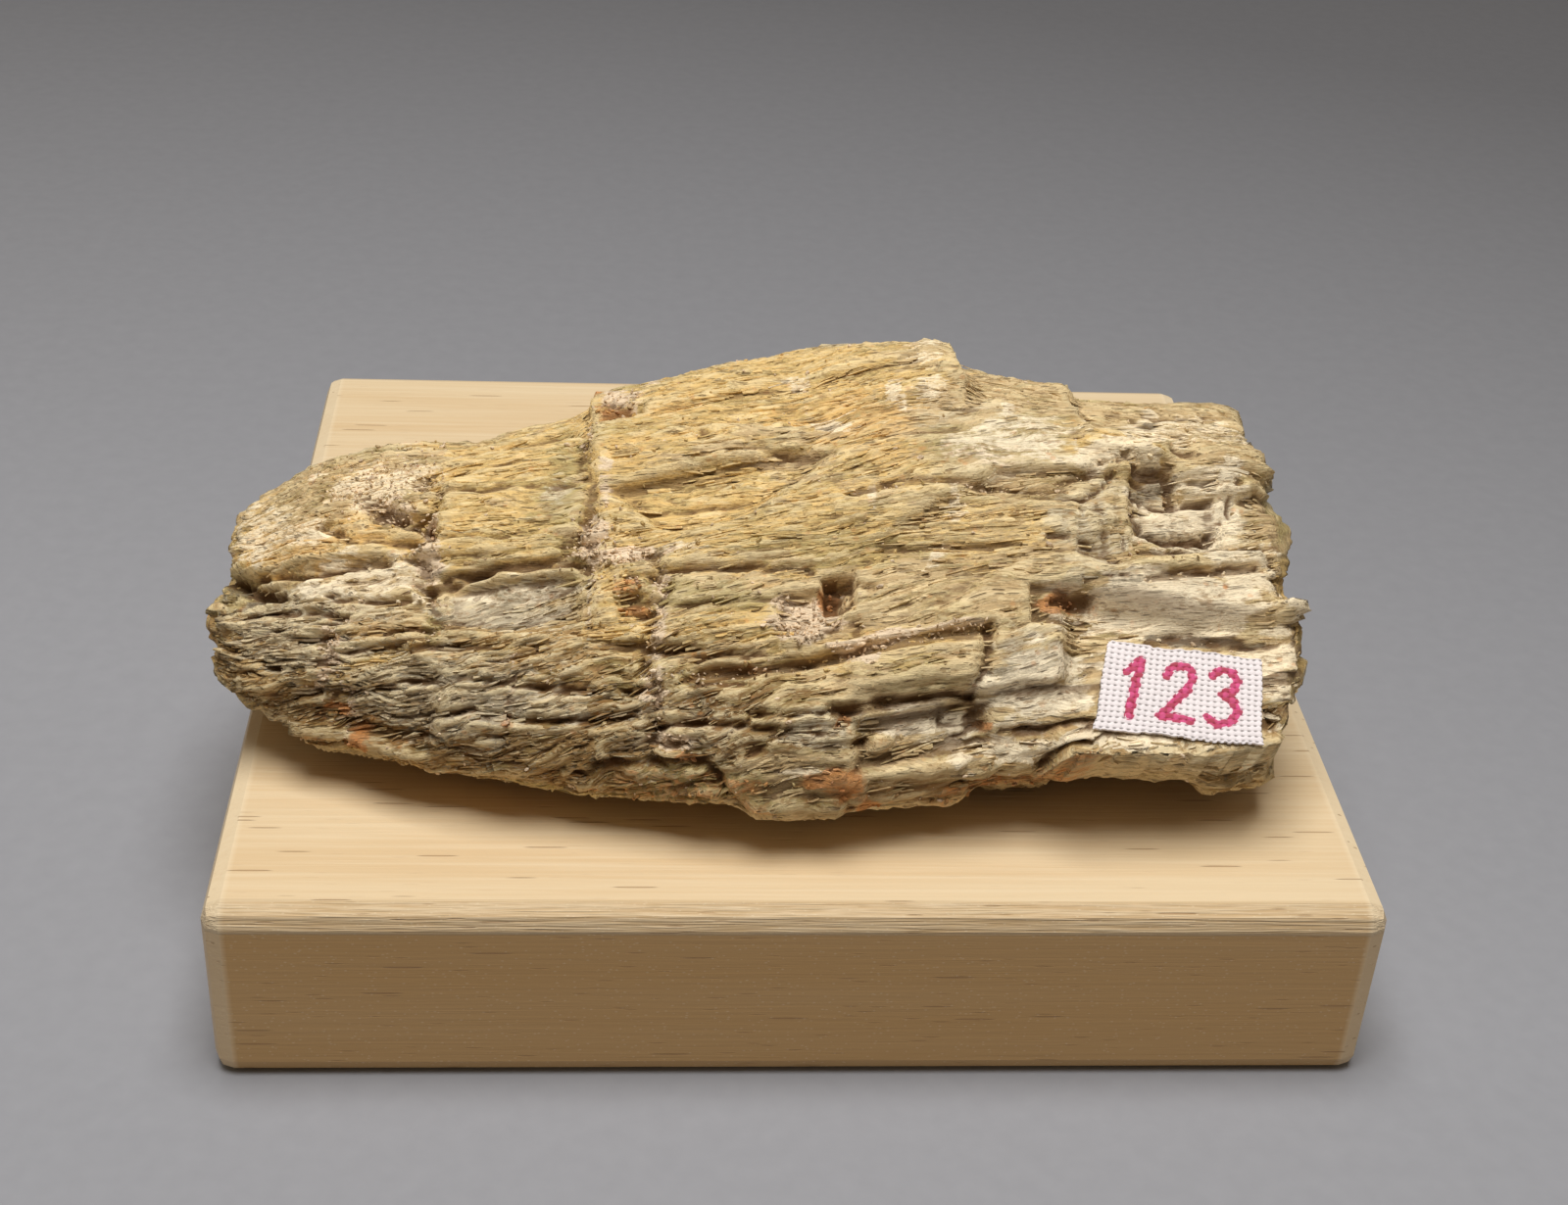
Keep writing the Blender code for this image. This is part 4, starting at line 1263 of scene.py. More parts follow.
calm_sheet = np.stack([local_mean(stone_grid[:, k], 2, 3) for k in range(3)], -1)
calm_sheet = calm_sheet.reshape(ROWS, COLUMNS, 3)
slope_along = np.gradient(calm_sheet, axis=0)
slope_round = (np.roll(calm_sheet, -1, axis=1) - np.roll(calm_sheet, 1, axis=1)) / 2
normal_sheet = np.cross(slope_along, slope_round)
normal_sheet /= np.maximum(np.linalg.norm(normal_sheet, axis=2, keepdims=True), 1e-9)
along_sheet = slope_along / np.maximum(np.linalg.norm(slope_along, axis=2, keepdims=True), 1e-9)
frame_sheet = np.concatenate([calm_sheet, normal_sheet, along_sheet], -1)


def in_label(points, margin):
    """True where a point lies on the label's facet or within the margin round it."""
    local = points - LABEL_MIDDLE
    inside_u = np.abs(local @ label_across) < LABEL_WIDTH / 2 + margin
    inside_v = np.abs(local @ label_up) < LABEL_HEIGHT / 2 + margin
    return inside_u & inside_v & (np.abs(local @ label_out) < LABEL_REACH)


# %% Lay the slivers
# sizes in millimetres: the usual one, its spread, the least and the most
SLIVER_LENGTH = (1.9, 0.50, 0.7, 6.5)
SLIVER_HALF_WIDTH = (0.13, 0.38, 0.06, 0.32)
SLIVER_THICKNESS = (0.12, 0.45, 0.04, 0.34)
SLIVER_TAPERS = [0.15, 0.55, 0.95]
SLIVER_POINTS = 12
# how much rarer slivers are on fine fibres, calm plates, clay and in cracks
SLIVER_LOSSES = (0.35, 0.9, 0.85, 0.9)
LABEL_CLEARANCE = 0.6
LEAST_HEIGHT = 0.5
LEAST_LIFT = 0.2
SLIVER_STATIONS = (-0.5, 0.12, 0.5)
SLIVER_CORNERS = ((-1.0, -0.9), (1.0, -0.9), (0.62, 1.0), (-0.62, 1.0))
SLIVER_COUNT = 9000
END_ROW = int(np.argmax(grid_size.reshape(ROWS, COLUMNS)[:, 0] > 0.94))
SLIVER_DRIFT = 0.05
END_OVERHANG = 0.9


def varied(rng, count, sizes):
    """Random sizes around the usual one, held between the least and the most."""
    usual, spread, least, most = sizes
    return np.clip(rng.lognormal(math.log(usual), spread, count), least, most)


def lay_slivers(name, seed, first_share, last_share):
    """Tapered bars along the fibres: three stations of four corners each, closed at both ends."""
    rng = np.random.default_rng(seed)
    tries = SLIVER_COUNT * 5
    x = rng.uniform(LEFT_TIP + 0.4, RIGHT_TIP - 0.4, tries)
    share = rng.uniform(first_share, last_share, tries)
    there = sample(stone_sheet, grid_rows(x), grid_columns(share))
    spot_coarse, spot_calm = there[:, SHEET_COARSE], there[:, SHEET_CALM]
    clay_here, gap_here = there[:, SHEET_CLAY], there[:, SHEET_CRACKED]
    kinds = (1 - spot_coarse, spot_calm, clay_here, gap_here)
    keep = rng.random(tries) > sum(loss * kind for loss, kind in zip(SLIVER_LOSSES, kinds))
    keep &= ~in_label(there[:, SHEET_PLACE], LABEL_CLEARANCE)
    keep &= there[:, 2] > BLOCK_TOP + GAP + LEAST_HEIGHT
    chosen = np.flatnonzero(keep)[:SLIVER_COUNT]
    x, share, there = x[chosen], share[chosen], there[chosen]
    spot_coarse = spot_coarse[chosen]
    count = len(chosen)
    length = varied(rng, count, SLIVER_LENGTH)
    half_width = varied(rng, count, SLIVER_HALF_WIDTH) * (1 + 0.25 * spot_coarse)
    thick = varied(rng, count, SLIVER_THICKNESS) * (0.58 + 0.75 * spot_coarse)
    drift = rng.normal(0, SLIVER_DRIFT, count)
    crooked = rng.normal(0, 0.06, count)
    lean = rng.uniform(-0.7, 0.7, count)
    taper = rng.choice(SLIVER_TAPERS, (count, 2))
    lifted = rng.uniform(-0.45, 0.12, (count, 3)) * thick[:, None]
    around = local_girth(x)
    points = np.empty((count, 3, 4, 3))
    for k, station in enumerate(SLIVER_STATIONS):
        at_x = x + station * length
        swing = grain_share(x, share) - grain_share(at_x, share)
        base_share = grain_share(x, share)
        swing = swing + fibre_bend(x, base_share, spot_coarse)
        swing = swing - fibre_bend(at_x, base_share, spot_coarse)
        at_share = share + swing + drift * station * length / around
        at_share = at_share + crooked / around * (k == 1)
        held_x = np.clip(at_x, row_x[END_ROW], row_x[-END_ROW - 1])
        over = np.clip(at_x - held_x, -END_OVERHANG, END_OVERHANG)
        local = sample(frame_sheet, grid_rows(held_x), grid_columns(at_share))
        middle, normal, along_way = local[:, :3], local[:, 3:6], local[:, 6:]
        normal /= np.linalg.norm(normal, axis=1, keepdims=True)
        middle = middle + over[:, None] * along_way
        across_way = np.cross(normal, along_way)
        size = np.ones(count) if k == 1 else taper[:, k // 2]
        for corner, (wide, high) in enumerate(SLIVER_CORNERS):
            offset = wide * half_width * size
            rise = high * thick * size + lifted[:, k]
            rise = rise + lean * wide * thick * (high > 0)
            points[:, k, corner] = middle + offset[:, None] * across_way + rise[:, None] * normal
    points[..., 2] = np.maximum(points[..., 2], BLOCK_TOP + LEAST_LIFT)
    index = np.arange(count * SLIVER_POINTS).reshape(count, 3, 4)
    quads = [index[:, 0, ::-1], index[:, 2, :]]
    for k in (0, 1):
        for corner in range(4):
            after = (corner + 1) % 4
            quads.append(np.stack([index[:, k, corner], index[:, k, after],
                                   index[:, k + 1, after], index[:, k + 1, corner]], -1))
    quads = np.concatenate(quads)
    flat_points = points.reshape(-1, 3)
    corners = flat_points[quads]
    volume = (corners[:, 0] * np.cross(corners[:, 1], corners[:, 2])).sum()
    volume = volume + (corners[:, 0] * np.cross(corners[:, 2], corners[:, 3])).sum()
    if volume < 0:
        quads = quads[:, ::-1]
    mesh = new_mesh(name, flat_points, quads.tolist())
    shift = np.repeat(rng.uniform(-60, 60, (count, 3)), SLIVER_POINTS, axis=0)
    write_looks(mesh, [np.repeat(there[:, part], SLIVER_POINTS, axis=0) for part in SHEET_PACKS],
                fibre_place=flat_points + shift, coarse=np.repeat(spot_coarse, SLIVER_POINTS),
                # painted contact shade on each sliver's lower corners, and a painted highlight on its
                # top corners
                valley=np.tile([0.55, 0.55, -0.30, -0.30], count * 3),
                own_tone=np.repeat(rng.random(count), SLIVER_POINTS),
                stain_low=np.repeat(there[:, SHEET_LOW], SLIVER_POINTS))
    piece = add_piece(name, mesh)
    print(name, count, "slivers,", 2 * len(quads), "triangles")
    return mesh


front_slivers = lay_slivers("front_slivers", 7, -0.06, 0.41)
back_slivers = lay_slivers("back_slivers", 8, 0.41, 0.94)

# %% Drop the crumbs
CRUMB_COUNT = 5200
CRUMB_POINTS = 12
CRUMB_SIZE = (0.16, 0.40, 0.07, 0.36)
CRUMB_STRETCH = (1.45, 0.85, 0.75)
# the crumbs' valley value gives them a little painted shade
CRUMB_VALLEY = 0.2
# name: middle in picture pixels, half width, half height, soft share, turn in degrees
SANDY_SPOTS = {
    "sandy slope": (385, 490, 62, 26, 0.5, -14),
    "long gap": (615, 540, 36, 60, 0.5, 0),
}
GOLDEN = (1 + math.sqrt(5)) / 2
CRUMB_CORNERS = np.array([
    (-1, GOLDEN, 0), (1, GOLDEN, 0), (-1, -GOLDEN, 0), (1, -GOLDEN, 0),
    (0, -1, GOLDEN), (0, 1, GOLDEN), (0, -1, -GOLDEN), (0, 1, -GOLDEN),
    (GOLDEN, 0, -1), (GOLDEN, 0, 1), (-GOLDEN, 0, -1), (-GOLDEN, 0, 1),
]) / math.hypot(1, GOLDEN)
CRUMB_FACES = np.array([
    (0, 11, 5), (0, 5, 1), (0, 1, 7), (0, 7, 10), (0, 10, 11), (1, 5, 9), (5, 11, 4),
    (11, 10, 2), (10, 7, 6), (7, 1, 8), (3, 9, 4), (3, 4, 2), (3, 2, 6), (3, 6, 8), (3, 8, 9),
    (4, 9, 5), (2, 4, 11), (6, 2, 10), (8, 6, 7), (9, 8, 1),
])


def drop_crumbs(name, seed):
    """Rough twenty-sided lumps, more of them where clay, rust, cracks or sand are."""
    rng = np.random.default_rng(seed)
    sandy = sum(spot(*place) for place in SANDY_SPOTS.values())
    in_cracks = np.clip(-crack_relief(grid_x, grid_g) / 0.8, 0, 1)
    likely = 1.2 * masks["clay"] ** 2 + 0.35 * masks["rust"] + 0.5 * in_cracks + 0.5 * sandy
    likely = likely + 0.02
    likely = likely * (1 - calm) * (stone_grid[:, 2] > BLOCK_TOP + GAP + LEAST_HEIGHT)
    likely = likely * ~in_label(stone_grid, 0.8) * (np.abs(grid_t - 0.5) < 0.5 - CAP_SHARE)
    likely = likely * np.where(grid_g % 1 < SEEN_GIRTH, 1.0, 1.6)
    chosen = rng.choice(len(likely), CRUMB_COUNT, p=likely / likely.sum())
    there = stone_sheet.reshape(ROWS * COLUMNS, -1)[chosen]
    normal = normal_sheet.reshape(-1, 3)[chosen]
    size = varied(rng, CRUMB_COUNT, CRUMB_SIZE)
    shape = CRUMB_CORNERS * rng.uniform(0.65, 1.2, (CRUMB_COUNT, CRUMB_POINTS, 3))
    shape = shape * size[:, None, None] * np.array(CRUMB_STRETCH)
    spin = rng.uniform(0, 2 * math.pi, CRUMB_COUNT)
    turned = np.stack([
        shape[..., 0] * np.cos(spin)[:, None] - shape[..., 2] * np.sin(spin)[:, None], shape[..., 1],
        shape[..., 0] * np.sin(spin)[:, None] + shape[..., 2] * np.cos(spin)[:, None]], -1)
    middle = stone_grid[chosen] + rng.normal(0, 0.12, (CRUMB_COUNT, 3)) * (1, 1, 0.3)
    middle = middle + normal * (0.05 * size)[:, None]
    points = (middle[:, None] + turned).reshape(-1, 3)
    points[:, 2] = np.maximum(points[:, 2], BLOCK_TOP + LEAST_LIFT)
    first_point = CRUMB_POINTS * np.arange(CRUMB_COUNT)[:, None, None]
    faces = (CRUMB_FACES[None] + first_point).reshape(-1, 3)
    mesh = new_mesh(name, points, faces.tolist())
    there[:, SHEET_CLAY] = np.maximum(there[:, SHEET_CLAY], 0.75 * (rng.random(CRUMB_COUNT) < 0.35))
    there[:, SHEET_PACKS[2]] *= (1, 0.3, 0.3)
    write_looks(mesh, [np.repeat(there[:, part], CRUMB_POINTS, axis=0) for part in SHEET_PACKS],
                fibre_place=points, coarse=np.repeat(there[:, SHEET_COARSE], CRUMB_POINTS),
                valley=np.full(len(points), CRUMB_VALLEY),
                own_tone=np.repeat(rng.random(CRUMB_COUNT), CRUMB_POINTS),
                stain_low=np.repeat(there[:, SHEET_LOW], CRUMB_POINTS))
    piece = add_piece(name, mesh)
    print(name, CRUMB_COUNT, "crumbs,", len(faces), "triangles")
    return mesh


crumbs_mesh = drop_crumbs("clay_crumbs", 9)

# %% [markdown]
# ## The cloth label
#
# The label is a scrap of coarse white cotton in plain weave, pasted to a flat place on the stone,
# with a number written in crimson ink. A bump map could fake the weave, but its threads are more
# than half a millimetre apart, so they show as shapes: the surface is the higher of two sets of
# threads that rise and dip over each other.

# %% Weave the label
THREAD_PITCH_U = 0.71
THREAD_PITCH_V = 0.60
THREAD_SWING = 0.045
THREAD_ROUND = 0.08
THREAD_SHARE = 0.90
HOLE_DEPTH = 0.08
HOLE_HALF = (0.21, 0.085)
CLOTH_THICKNESS = 0.28
CLOTH_LIFT = 0.50
LABEL_SKEW = 0.17
CLOTH_COLUMNS = 276
CLOTH_ROWS = 162
THREAD_WANDER = 0.11
CURL_HEIGHT = 0.22


def thread_arch(across):
    """A thread's round top, flat past its own width."""
    past = np.abs(across) / THREAD_SHARE
    return THREAD_ROUND * np.sqrt(np.maximum(1 - np.minimum(past, 1) ** 2, 0))


def hole_share(u, v):
    """1 in the small flat holes where four threads meet, 0 on the threads."""
    from_hole_u = u - THREAD_PITCH_U * np.round(u / THREAD_PITCH_U)
    from_hole_v = v - THREAD_PITCH_V * np.round(v / THREAD_PITCH_V)
    reach = np.hypot(from_hole_u / HOLE_HALF[0], from_hole_v / HOLE_HALF[1])
    return 1 - smooth((reach - 0.6) / 0.7)


def weave(u, v):
    """Plain weave: height, and 1 where the upright thread is on top.

    Each thread is round across and swings up and down as it crosses others. The surface is the
    higher of the two threads; neighbours swing the opposite way.
    """
    i, j = np.floor(u / THREAD_PITCH_U), np.floor(v / THREAD_PITCH_V)
    across_one = 2 * (u / THREAD_PITCH_U - i) - 1
    across_other = 2 * (v / THREAD_PITCH_V - j) - 1
    one = THREAD_SWING * np.sin(math.pi * v / THREAD_PITCH_V) * (1 - 2 * (i % 2))
    one = one + thread_arch(across_one)
    other = -THREAD_SWING * np.sin(math.pi * u / THREAD_PITCH_U) * (1 - 2 * (j % 2))
    other = other + thread_arch(across_other)
    height = np.maximum(one, other) - HOLE_DEPTH * hole_share(u, v)
    return height, smooth((one - other) / 0.04 + 0.5)


half_width, half_height = LABEL_WIDTH / 2, LABEL_HEIGHT / 2
cloth_u, cloth_v = (a.ravel() for a in np.meshgrid(
    np.linspace(-half_width, half_width, CLOTH_COLUMNS),
    np.linspace(-half_height, half_height, CLOTH_ROWS)))
flat_place = on_plane(cloth_u, cloth_v)
thread_u = cloth_u + noise(flat_place / 2.6, 101) * THREAD_WANDER
thread_v = cloth_v + noise(flat_place / 2.9, 102) * THREAD_WANDER
edge_u = (np.abs(cloth_u) / half_width) ** 6 * np.sign(cloth_u)
edge_v = (np.abs(cloth_v) / half_height) ** 6 * np.sign(cloth_v)
ragged_u = 0.14 * noise(flat_place / (99, 0.5, 1), 103) + 0.16 * noise(flat_place / (99, 2.2, 1), 104)
ragged_v = 0.12 * noise(flat_place / (0.5, 99, 1), 105) + 0.16 * noise(flat_place / (2.6, 99, 1), 106)
left_share = 0.5 - cloth_u / LABEL_WIDTH
place_u = cloth_u + edge_u * ragged_u + LABEL_SKEW * cloth_v * left_share
place_v = cloth_v + edge_v * ragged_v
woven, upright_on_top = weave(thread_u, thread_v)
cloth_rise = CLOTH_LIFT + woven + 0.10 * noise(flat_place / 4.5, 107)
curl = np.maximum(np.abs(edge_u), np.abs(edge_v)) * noise(flat_place / 3.0, 108)
cloth_rise = cloth_rise + CURL_HEIGHT * np.maximum(curl, 0)
cloth_points = (LABEL_MIDDLE + place_u[:, None] * label_across + place_v[:, None] * label_up
                + cloth_rise[:, None] * label_out)
print("label threads:", int(LABEL_WIDTH / THREAD_PITCH_U), "x", int(LABEL_HEIGHT / THREAD_PITCH_V))

# %% Write the number
DIGIT_HEIGHT = 6.3
PEN_WIDTH = 0.94
PEN_SLANT = 0.07
PEN_WANDER = 0.10
HALO_REACH = 0.35
# each stroke's corners, in shares of the digit's height, from the digit's lower left
DIGIT_STROKES = {
    "1": [[(0.10, 0.78), (0.20, 0.88), (0.30, 1.00), (0.29, 0.60), (0.28, 0.00)]],
    "2": [[(0.03, 0.78), (0.09, 0.93), (0.24, 1.00), (0.42, 0.95), (0.48, 0.78), (0.42, 0.58),
           (0.24, 0.32), (0.04, 0.04), (0.26, 0.05), (0.53, 0.02)]],
    "3": [[(0.04, 0.88), (0.16, 0.99), (0.35, 0.98), (0.46, 0.84), (0.40, 0.64), (0.22, 0.54),
           (0.41, 0.47), (0.50, 0.27), (0.40, 0.06), (0.19, 0.00), (0.02, 0.10)]],
}
DIGIT_PLACES = {"1": -7.0, "2": -2.3, "3": 2.6}

ink_distance = np.full(len(cloth_u), np.inf)
pen_u = cloth_u + PEN_WANDER * noise(flat_place / 1.1, 111)
pen_v = cloth_v + PEN_WANDER * noise(flat_place / 1.1, 112)
for digit, strokes in DIGIT_STROKES.items():
    for stroke in strokes:
        corners = []
        for across_share, up_share in stroke:
            corner_u = DIGIT_PLACES[digit] + (across_share + PEN_SLANT * up_share) * DIGIT_HEIGHT
            corners.append((corner_u, (up_share - 0.5) * DIGIT_HEIGHT))
        ink_distance = np.minimum(ink_distance, line_distance(pen_u, pen_v, corners))
ink_distance = ink_distance + 0.16 * (upright_on_top - 0.5)
ink = smooth((PEN_WIDTH / 2 - ink_distance) / 0.14 + 0.5)

cloth_index = np.arange(CLOTH_ROWS * CLOTH_COLUMNS).reshape(CLOTH_ROWS, CLOTH_COLUMNS)
cloth_quads = np.stack([cloth_index[:-1, :-1], cloth_index[:-1, 1:], cloth_index[1:, 1:],
                        cloth_index[1:, :-1]], -1).reshape(-1, 4)
cloth_mesh = new_mesh("woven_label", cloth_points, cloth_quads.tolist())
cloth_mesh.shade_smooth()
add_numbers(cloth_mesh, "ink", "FLOAT", ink)
add_numbers(cloth_mesh, "thread_top", "FLOAT", 1 - hole_share(thread_u, thread_v))
add_numbers(cloth_mesh, "upright", "FLOAT", upright_on_top)
ink_halo = smooth((PEN_WIDTH / 2 + HALO_REACH - ink_distance) / 0.5)
add_numbers(cloth_mesh, "ink_halo", "FLOAT", ink_halo)
add_numbers(cloth_mesh, "cloth_place", "FLOAT_VECTOR", np.stack([thread_u, thread_v, cloth_rise], -1))
label = add_piece("woven_label", cloth_mesh)
thickness = label.modifiers.new("cloth thickness", "SOLIDIFY")
thickness.thickness = CLOTH_THICKNESS * MM
thickness.offset = -1
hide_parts("number_label")
print("ink covers", (ink > 0.5).mean().round(3), "of the cloth")

# %% [markdown]
# ## Writing finishes as formulas
#
# A finish is a small program of shader nodes. Wiring nodes by hand soon hides the thought behind
# them, so a thin wrapper lets Python's own signs add the Math nodes: streaks * 0.5 + grain reads
# as it works. Colours go through Mix nodes, because a Math node would turn them grey.

# %% A wrapper for shader maths
SCALE_TO_MM = 1000.0


class Value:
    """A number that varies over a surface: a node's output, with arithmetic."""

    def __init__(self, finish, socket):
        self.finish = finish
        self.socket = socket

    def maths(self, operation, *others, clamp=False):
        settings = {"operation": operation, "use_clamp": clamp}
        return self.finish.add("Math", settings, dict(enumerate((self, *others))))

    def reflected(self, operation, other):
        return self.finish.add("Math", {"operation": operation}, {0: other, 1: self})

    def __add__(self, other):
        return self.maths("ADD", other)

    def __sub__(self, other):
        return self.maths("SUBTRACT", other)

    def __mul__(self, other):
        return self.maths("MULTIPLY", other)

    def __truediv__(self, other):
        return self.maths("DIVIDE", other)

    def __pow__(self, other):
        return self.maths("POWER", other)

    def __radd__(self, other):
        return self.reflected("ADD", other)

    def __rsub__(self, other):
        return self.reflected("SUBTRACT", other)

    def __rmul__(self, other):
        return self.reflected("MULTIPLY", other)

    def above(self, level, soft):
        """0 below the level and 1 a little above it."""
        return ((self - level) / soft).maths("ADD", 0.5, clamp=True)

    def at_most(self, other):
        return self.maths("MINIMUM", other)

    def at_least(self, other):
        return self.maths("MAXIMUM", other)


class Finish:
    """A material being wired: every node but the last comes through add()."""

    def __init__(self, name):
        self.material = bpy.data.materials.new(name)
        self.material.use_nodes = True
        self.nodes = self.material.node_tree.nodes
        self.links = self.material.node_tree.links
        self.nodes.clear()

    def add(self, kind, settings=None, inputs=None, output=0):
        """Add a node, set its settings, then give its sockets values or links."""
        node = self.nodes.new("ShaderNode" + kind)
        for key, setting in (settings or {}).items():
            setattr(node, key, setting)
        for key, given in (inputs or {}).items():
            if isinstance(given, Value):
                self.links.new(given.socket, node.inputs[key])
            else:
                node.inputs[key].default_value = given
        return Value(self, node.outputs[output])

    def attribute(self, name, output="Fac"):
        """What a piece stores on its points: a number, or three of them as a Vector."""
        return self.add("Attribute", {"attribute_name": name}, {}, output)

    def vector_maths(self, operation, one, other):
        return self.add("VectorMath", {"operation": operation}, {0: one, 1: other})

    def parts(self, vector):
        """The three numbers of a vector."""
        split = self.add("SeparateXYZ", {}, {0: vector})
        return [Value(self, output) for output in split.socket.node.outputs]

    def place(self):
        """The place on the piece, in millimetres."""
        place = self.add("TexCoord", {}, {}, "Object")
        return self.add("VectorMath", {"operation": "SCALE"}, {0: place, "Scale": SCALE_TO_MM})

    def stretch(self, place, sizes):
        """A place divided by the pattern's sizes in millimetres along each axis."""
        return self.vector_maths("MULTIPLY", place, tuple(1 / size for size in sizes))

    def cloud(self, place, sizes, detail=3.0, roughness=0.55, twist=0.0):
        """Soft noise from 0 to 1, of the given sizes in millimetres."""
        return self.add("TexNoise", {}, {
            "Vector": self.stretch(place, sizes), "Scale": 1.0, "Detail": detail,
            "Roughness": roughness, "Distortion": twist})

    def cells(self, place, sizes, feature="F1", output="Distance"):
        """Distance to the nearest of scattered points, or that point's own random colour."""
        return self.add("TexVoronoi", {"feature": feature}, {
            "Vector": self.stretch(place, sizes), "Scale": 1.0}, output)

    def random_cell(self, place, sizes):
        """A random number from 0 to 1 for each cell around scattered points: hard-edged flakes."""
        colour = self.cells(place, sizes, output="Color")
        return self.add("SeparateColor", {}, {0: colour}, "Red")

    def blend(self, under, over, share):
        """A colour that goes from one to the other by a share."""
        mix = self.add("Mix", {"data_type": "RGBA", "clamp_factor": True}, {}, 2)
        node = mix.socket.node
        for index, given in ((0, share), (6, under), (7, over)):
            if isinstance(given, Value):
                self.links.new(given.socket, node.inputs[index])
            else:
                node.inputs[index].default_value = given
        return mix

    def shade(self, colour, amount):
        """A colour times a grey amount."""
        grey = self.add("CombineXYZ", {}, {0: amount, 1: amount, 2: amount})
        return self.vector_maths("MULTIPLY", colour, grey)

    def shares(self, name):
        """The three numbers packed into one of the piece's attributes."""
        return self.parts(self.attribute(name, "Vector"))

    def surface(self, colour, roughness, height=None, depth=0.0, **constants):
        """Finish with a Principled shader, and a Bump where a height in millimetres is given."""
        inputs = {"Base Color": colour, "Roughness": roughness}
        inputs.update({name.replace("_", " "): given for name, given in constants.items()})
        if height is not None:
            inputs["Normal"] = self.add("Bump", {}, {
                "Strength": 1.0, "Distance": depth * MM, "Height": height}, "Normal")
        shader = self.add("BsdfPrincipled", {}, inputs)
        self.add_output(shader)
        return self.material

    def add_output(self, shader):
        output = self.nodes.new("ShaderNodeOutputMaterial")
        self.links.new(shader.socket, output.inputs["Surface"])


def tint(red, green, blue):
    """A colour given by its screen values from 0 to 255, as the light values a shader needs."""
    light = []
    for value in (red, green, blue):
        share = value / 255
        light.append(share / 12.92 if share <= 0.04045 else ((share + 0.055) / 1.055) ** 2.4)
    return (*light, 1.0)


print("screen 188 as light:", round(tint(188, 188, 188)[0], 3))

# %% [markdown]
# ## The stone's finish
#
# Bismuthinite is lead grey inside, but this piece has weathered to earthy ochres. The finish lays
# the tints over each other: olive tan fibres first, then yellow, orange, olive, grey, cream crests
# that are partly a painted highlight, pale marks that are partly painted light, pink clay, rust, dark
# dashes of dirt, and painted shade in valleys, hollows and recesses. Streak noise is drawn out
# along the fibres, so every border frays along them.

# %% Wire the stone's finish
TAN = tint(228, 202, 154)
BROWN_TAN = tint(202, 171, 122)
LOW_TAN = tint(180, 143, 88)
LOW_BROWN = tint(138, 100, 52)
YELLOW = tint(240, 203, 130)
ORANGE = tint(236, 190, 116)
OLIVE = tint(180, 164, 108)
FLECK = tint(142, 102, 52)
GREY = tint(223, 211, 183)
DEEP_GREY = tint(160, 151, 130)
CREAM = tint(248, 226, 176)
PALE = tint(250, 234, 202)
CLAY = tint(246, 222, 190)
RUST = tint(218, 148, 84)
DEEP_RUST = tint(176, 110, 58)
# dark dashes of dirt, and painted shade in valleys and hollows
DIRT_AND_SHADE = tint(106, 74, 42)
# the deepest painted shade, for recesses, holes and under ledges
PAINTED_DEEP_SHADE = tint(66, 48, 32)
# sizes in millimetres: along the fibres, then across them both ways
FLAKE_SIZE = (3.2, 0.52, 0.52)
THREAD_SIZE = (1.6, 0.21, 0.21)
DASH_SIZE = (4.2, 0.42, 0.42)
WARP_REACH = (1.2, 0.45, 0.45)
STONE_BUMP = 0.30

stone_finish = Finish("weathered fibrous stone")
place = stone_finish.place()
along = stone_finish.attribute("fibre_place", "Vector")
yellow, orange, olive = stone_finish.shares("stain_a")
grey, pale_and_painted_light, clay = stone_finish.shares("stains_and_painted_light")
rust, painted_shade, hollow_shade_share = stone_finish.shares("rust_and_painted_shade")
low = stone_finish.attribute("stain_low")
rough_fibres = stone_finish.attribute("coarse")
valley_share = stone_finish.attribute("valley")
own_tone = stone_finish.attribute("own_tone")

broad = stone_finish.cloud(along, (11.0, 1.9, 1.9), 4.0, 0.6)
streaks = stone_finish.cloud(along, (3.6, 0.50, 0.50), 4.0, 0.62, 0.25)
hair = stone_finish.cloud(along, (1.6, 0.15, 0.15), 2.0, 0.6)
crumbs = stone_finish.cloud(place, (0.55, 0.55, 0.55), 3.0, 0.65)
blotch = stone_finish.cloud(place, (5.0, 3.5, 3.5), 4.0, 0.6, 0.4)
warp = stone_finish.add("TexNoise", {}, {
    "Vector": stone_finish.stretch(along, (1.6, 0.8, 0.8)), "Scale": 1.0, "Detail": 2.0}, "Color")
warp = stone_finish.vector_maths("SUBTRACT", warp, (0.5, 0.5, 0.5))
warp = stone_finish.vector_maths("MULTIPLY", warp, WARP_REACH)
warped = stone_finish.vector_maths("ADD", along, warp)
flake = stone_finish.random_cell(warped, FLAKE_SIZE)
thread = stone_finish.random_cell(warped, THREAD_SIZE)
hairline = (0.24 - stone_finish.cells(along, DASH_SIZE)).above(0.0, 0.10) * broad.above(0.46, 0.25)
fleck = stone_finish.cloud(along, (1.2, 0.30, 0.30), 3.0, 0.7)
cluster = stone_finish.cloud(along, (7.0, 2.4, 2.4), 3.0, 0.6)
fray = (streaks - 0.5) * 1.3 + (crumbs - 0.5) * 0.9 + (blotch - 0.5) * 0.8
fray = fray + (flake - 0.5) * 0.5 + (own_tone - 0.5) * 0.3


def frayed(mask, level=0.42, soft=0.34):
    """A mask whose border follows the streaks and crumbs instead of a smooth outline."""
    return (mask + fray * (mask * 1.6).at_most(0.6)).above(level, soft)


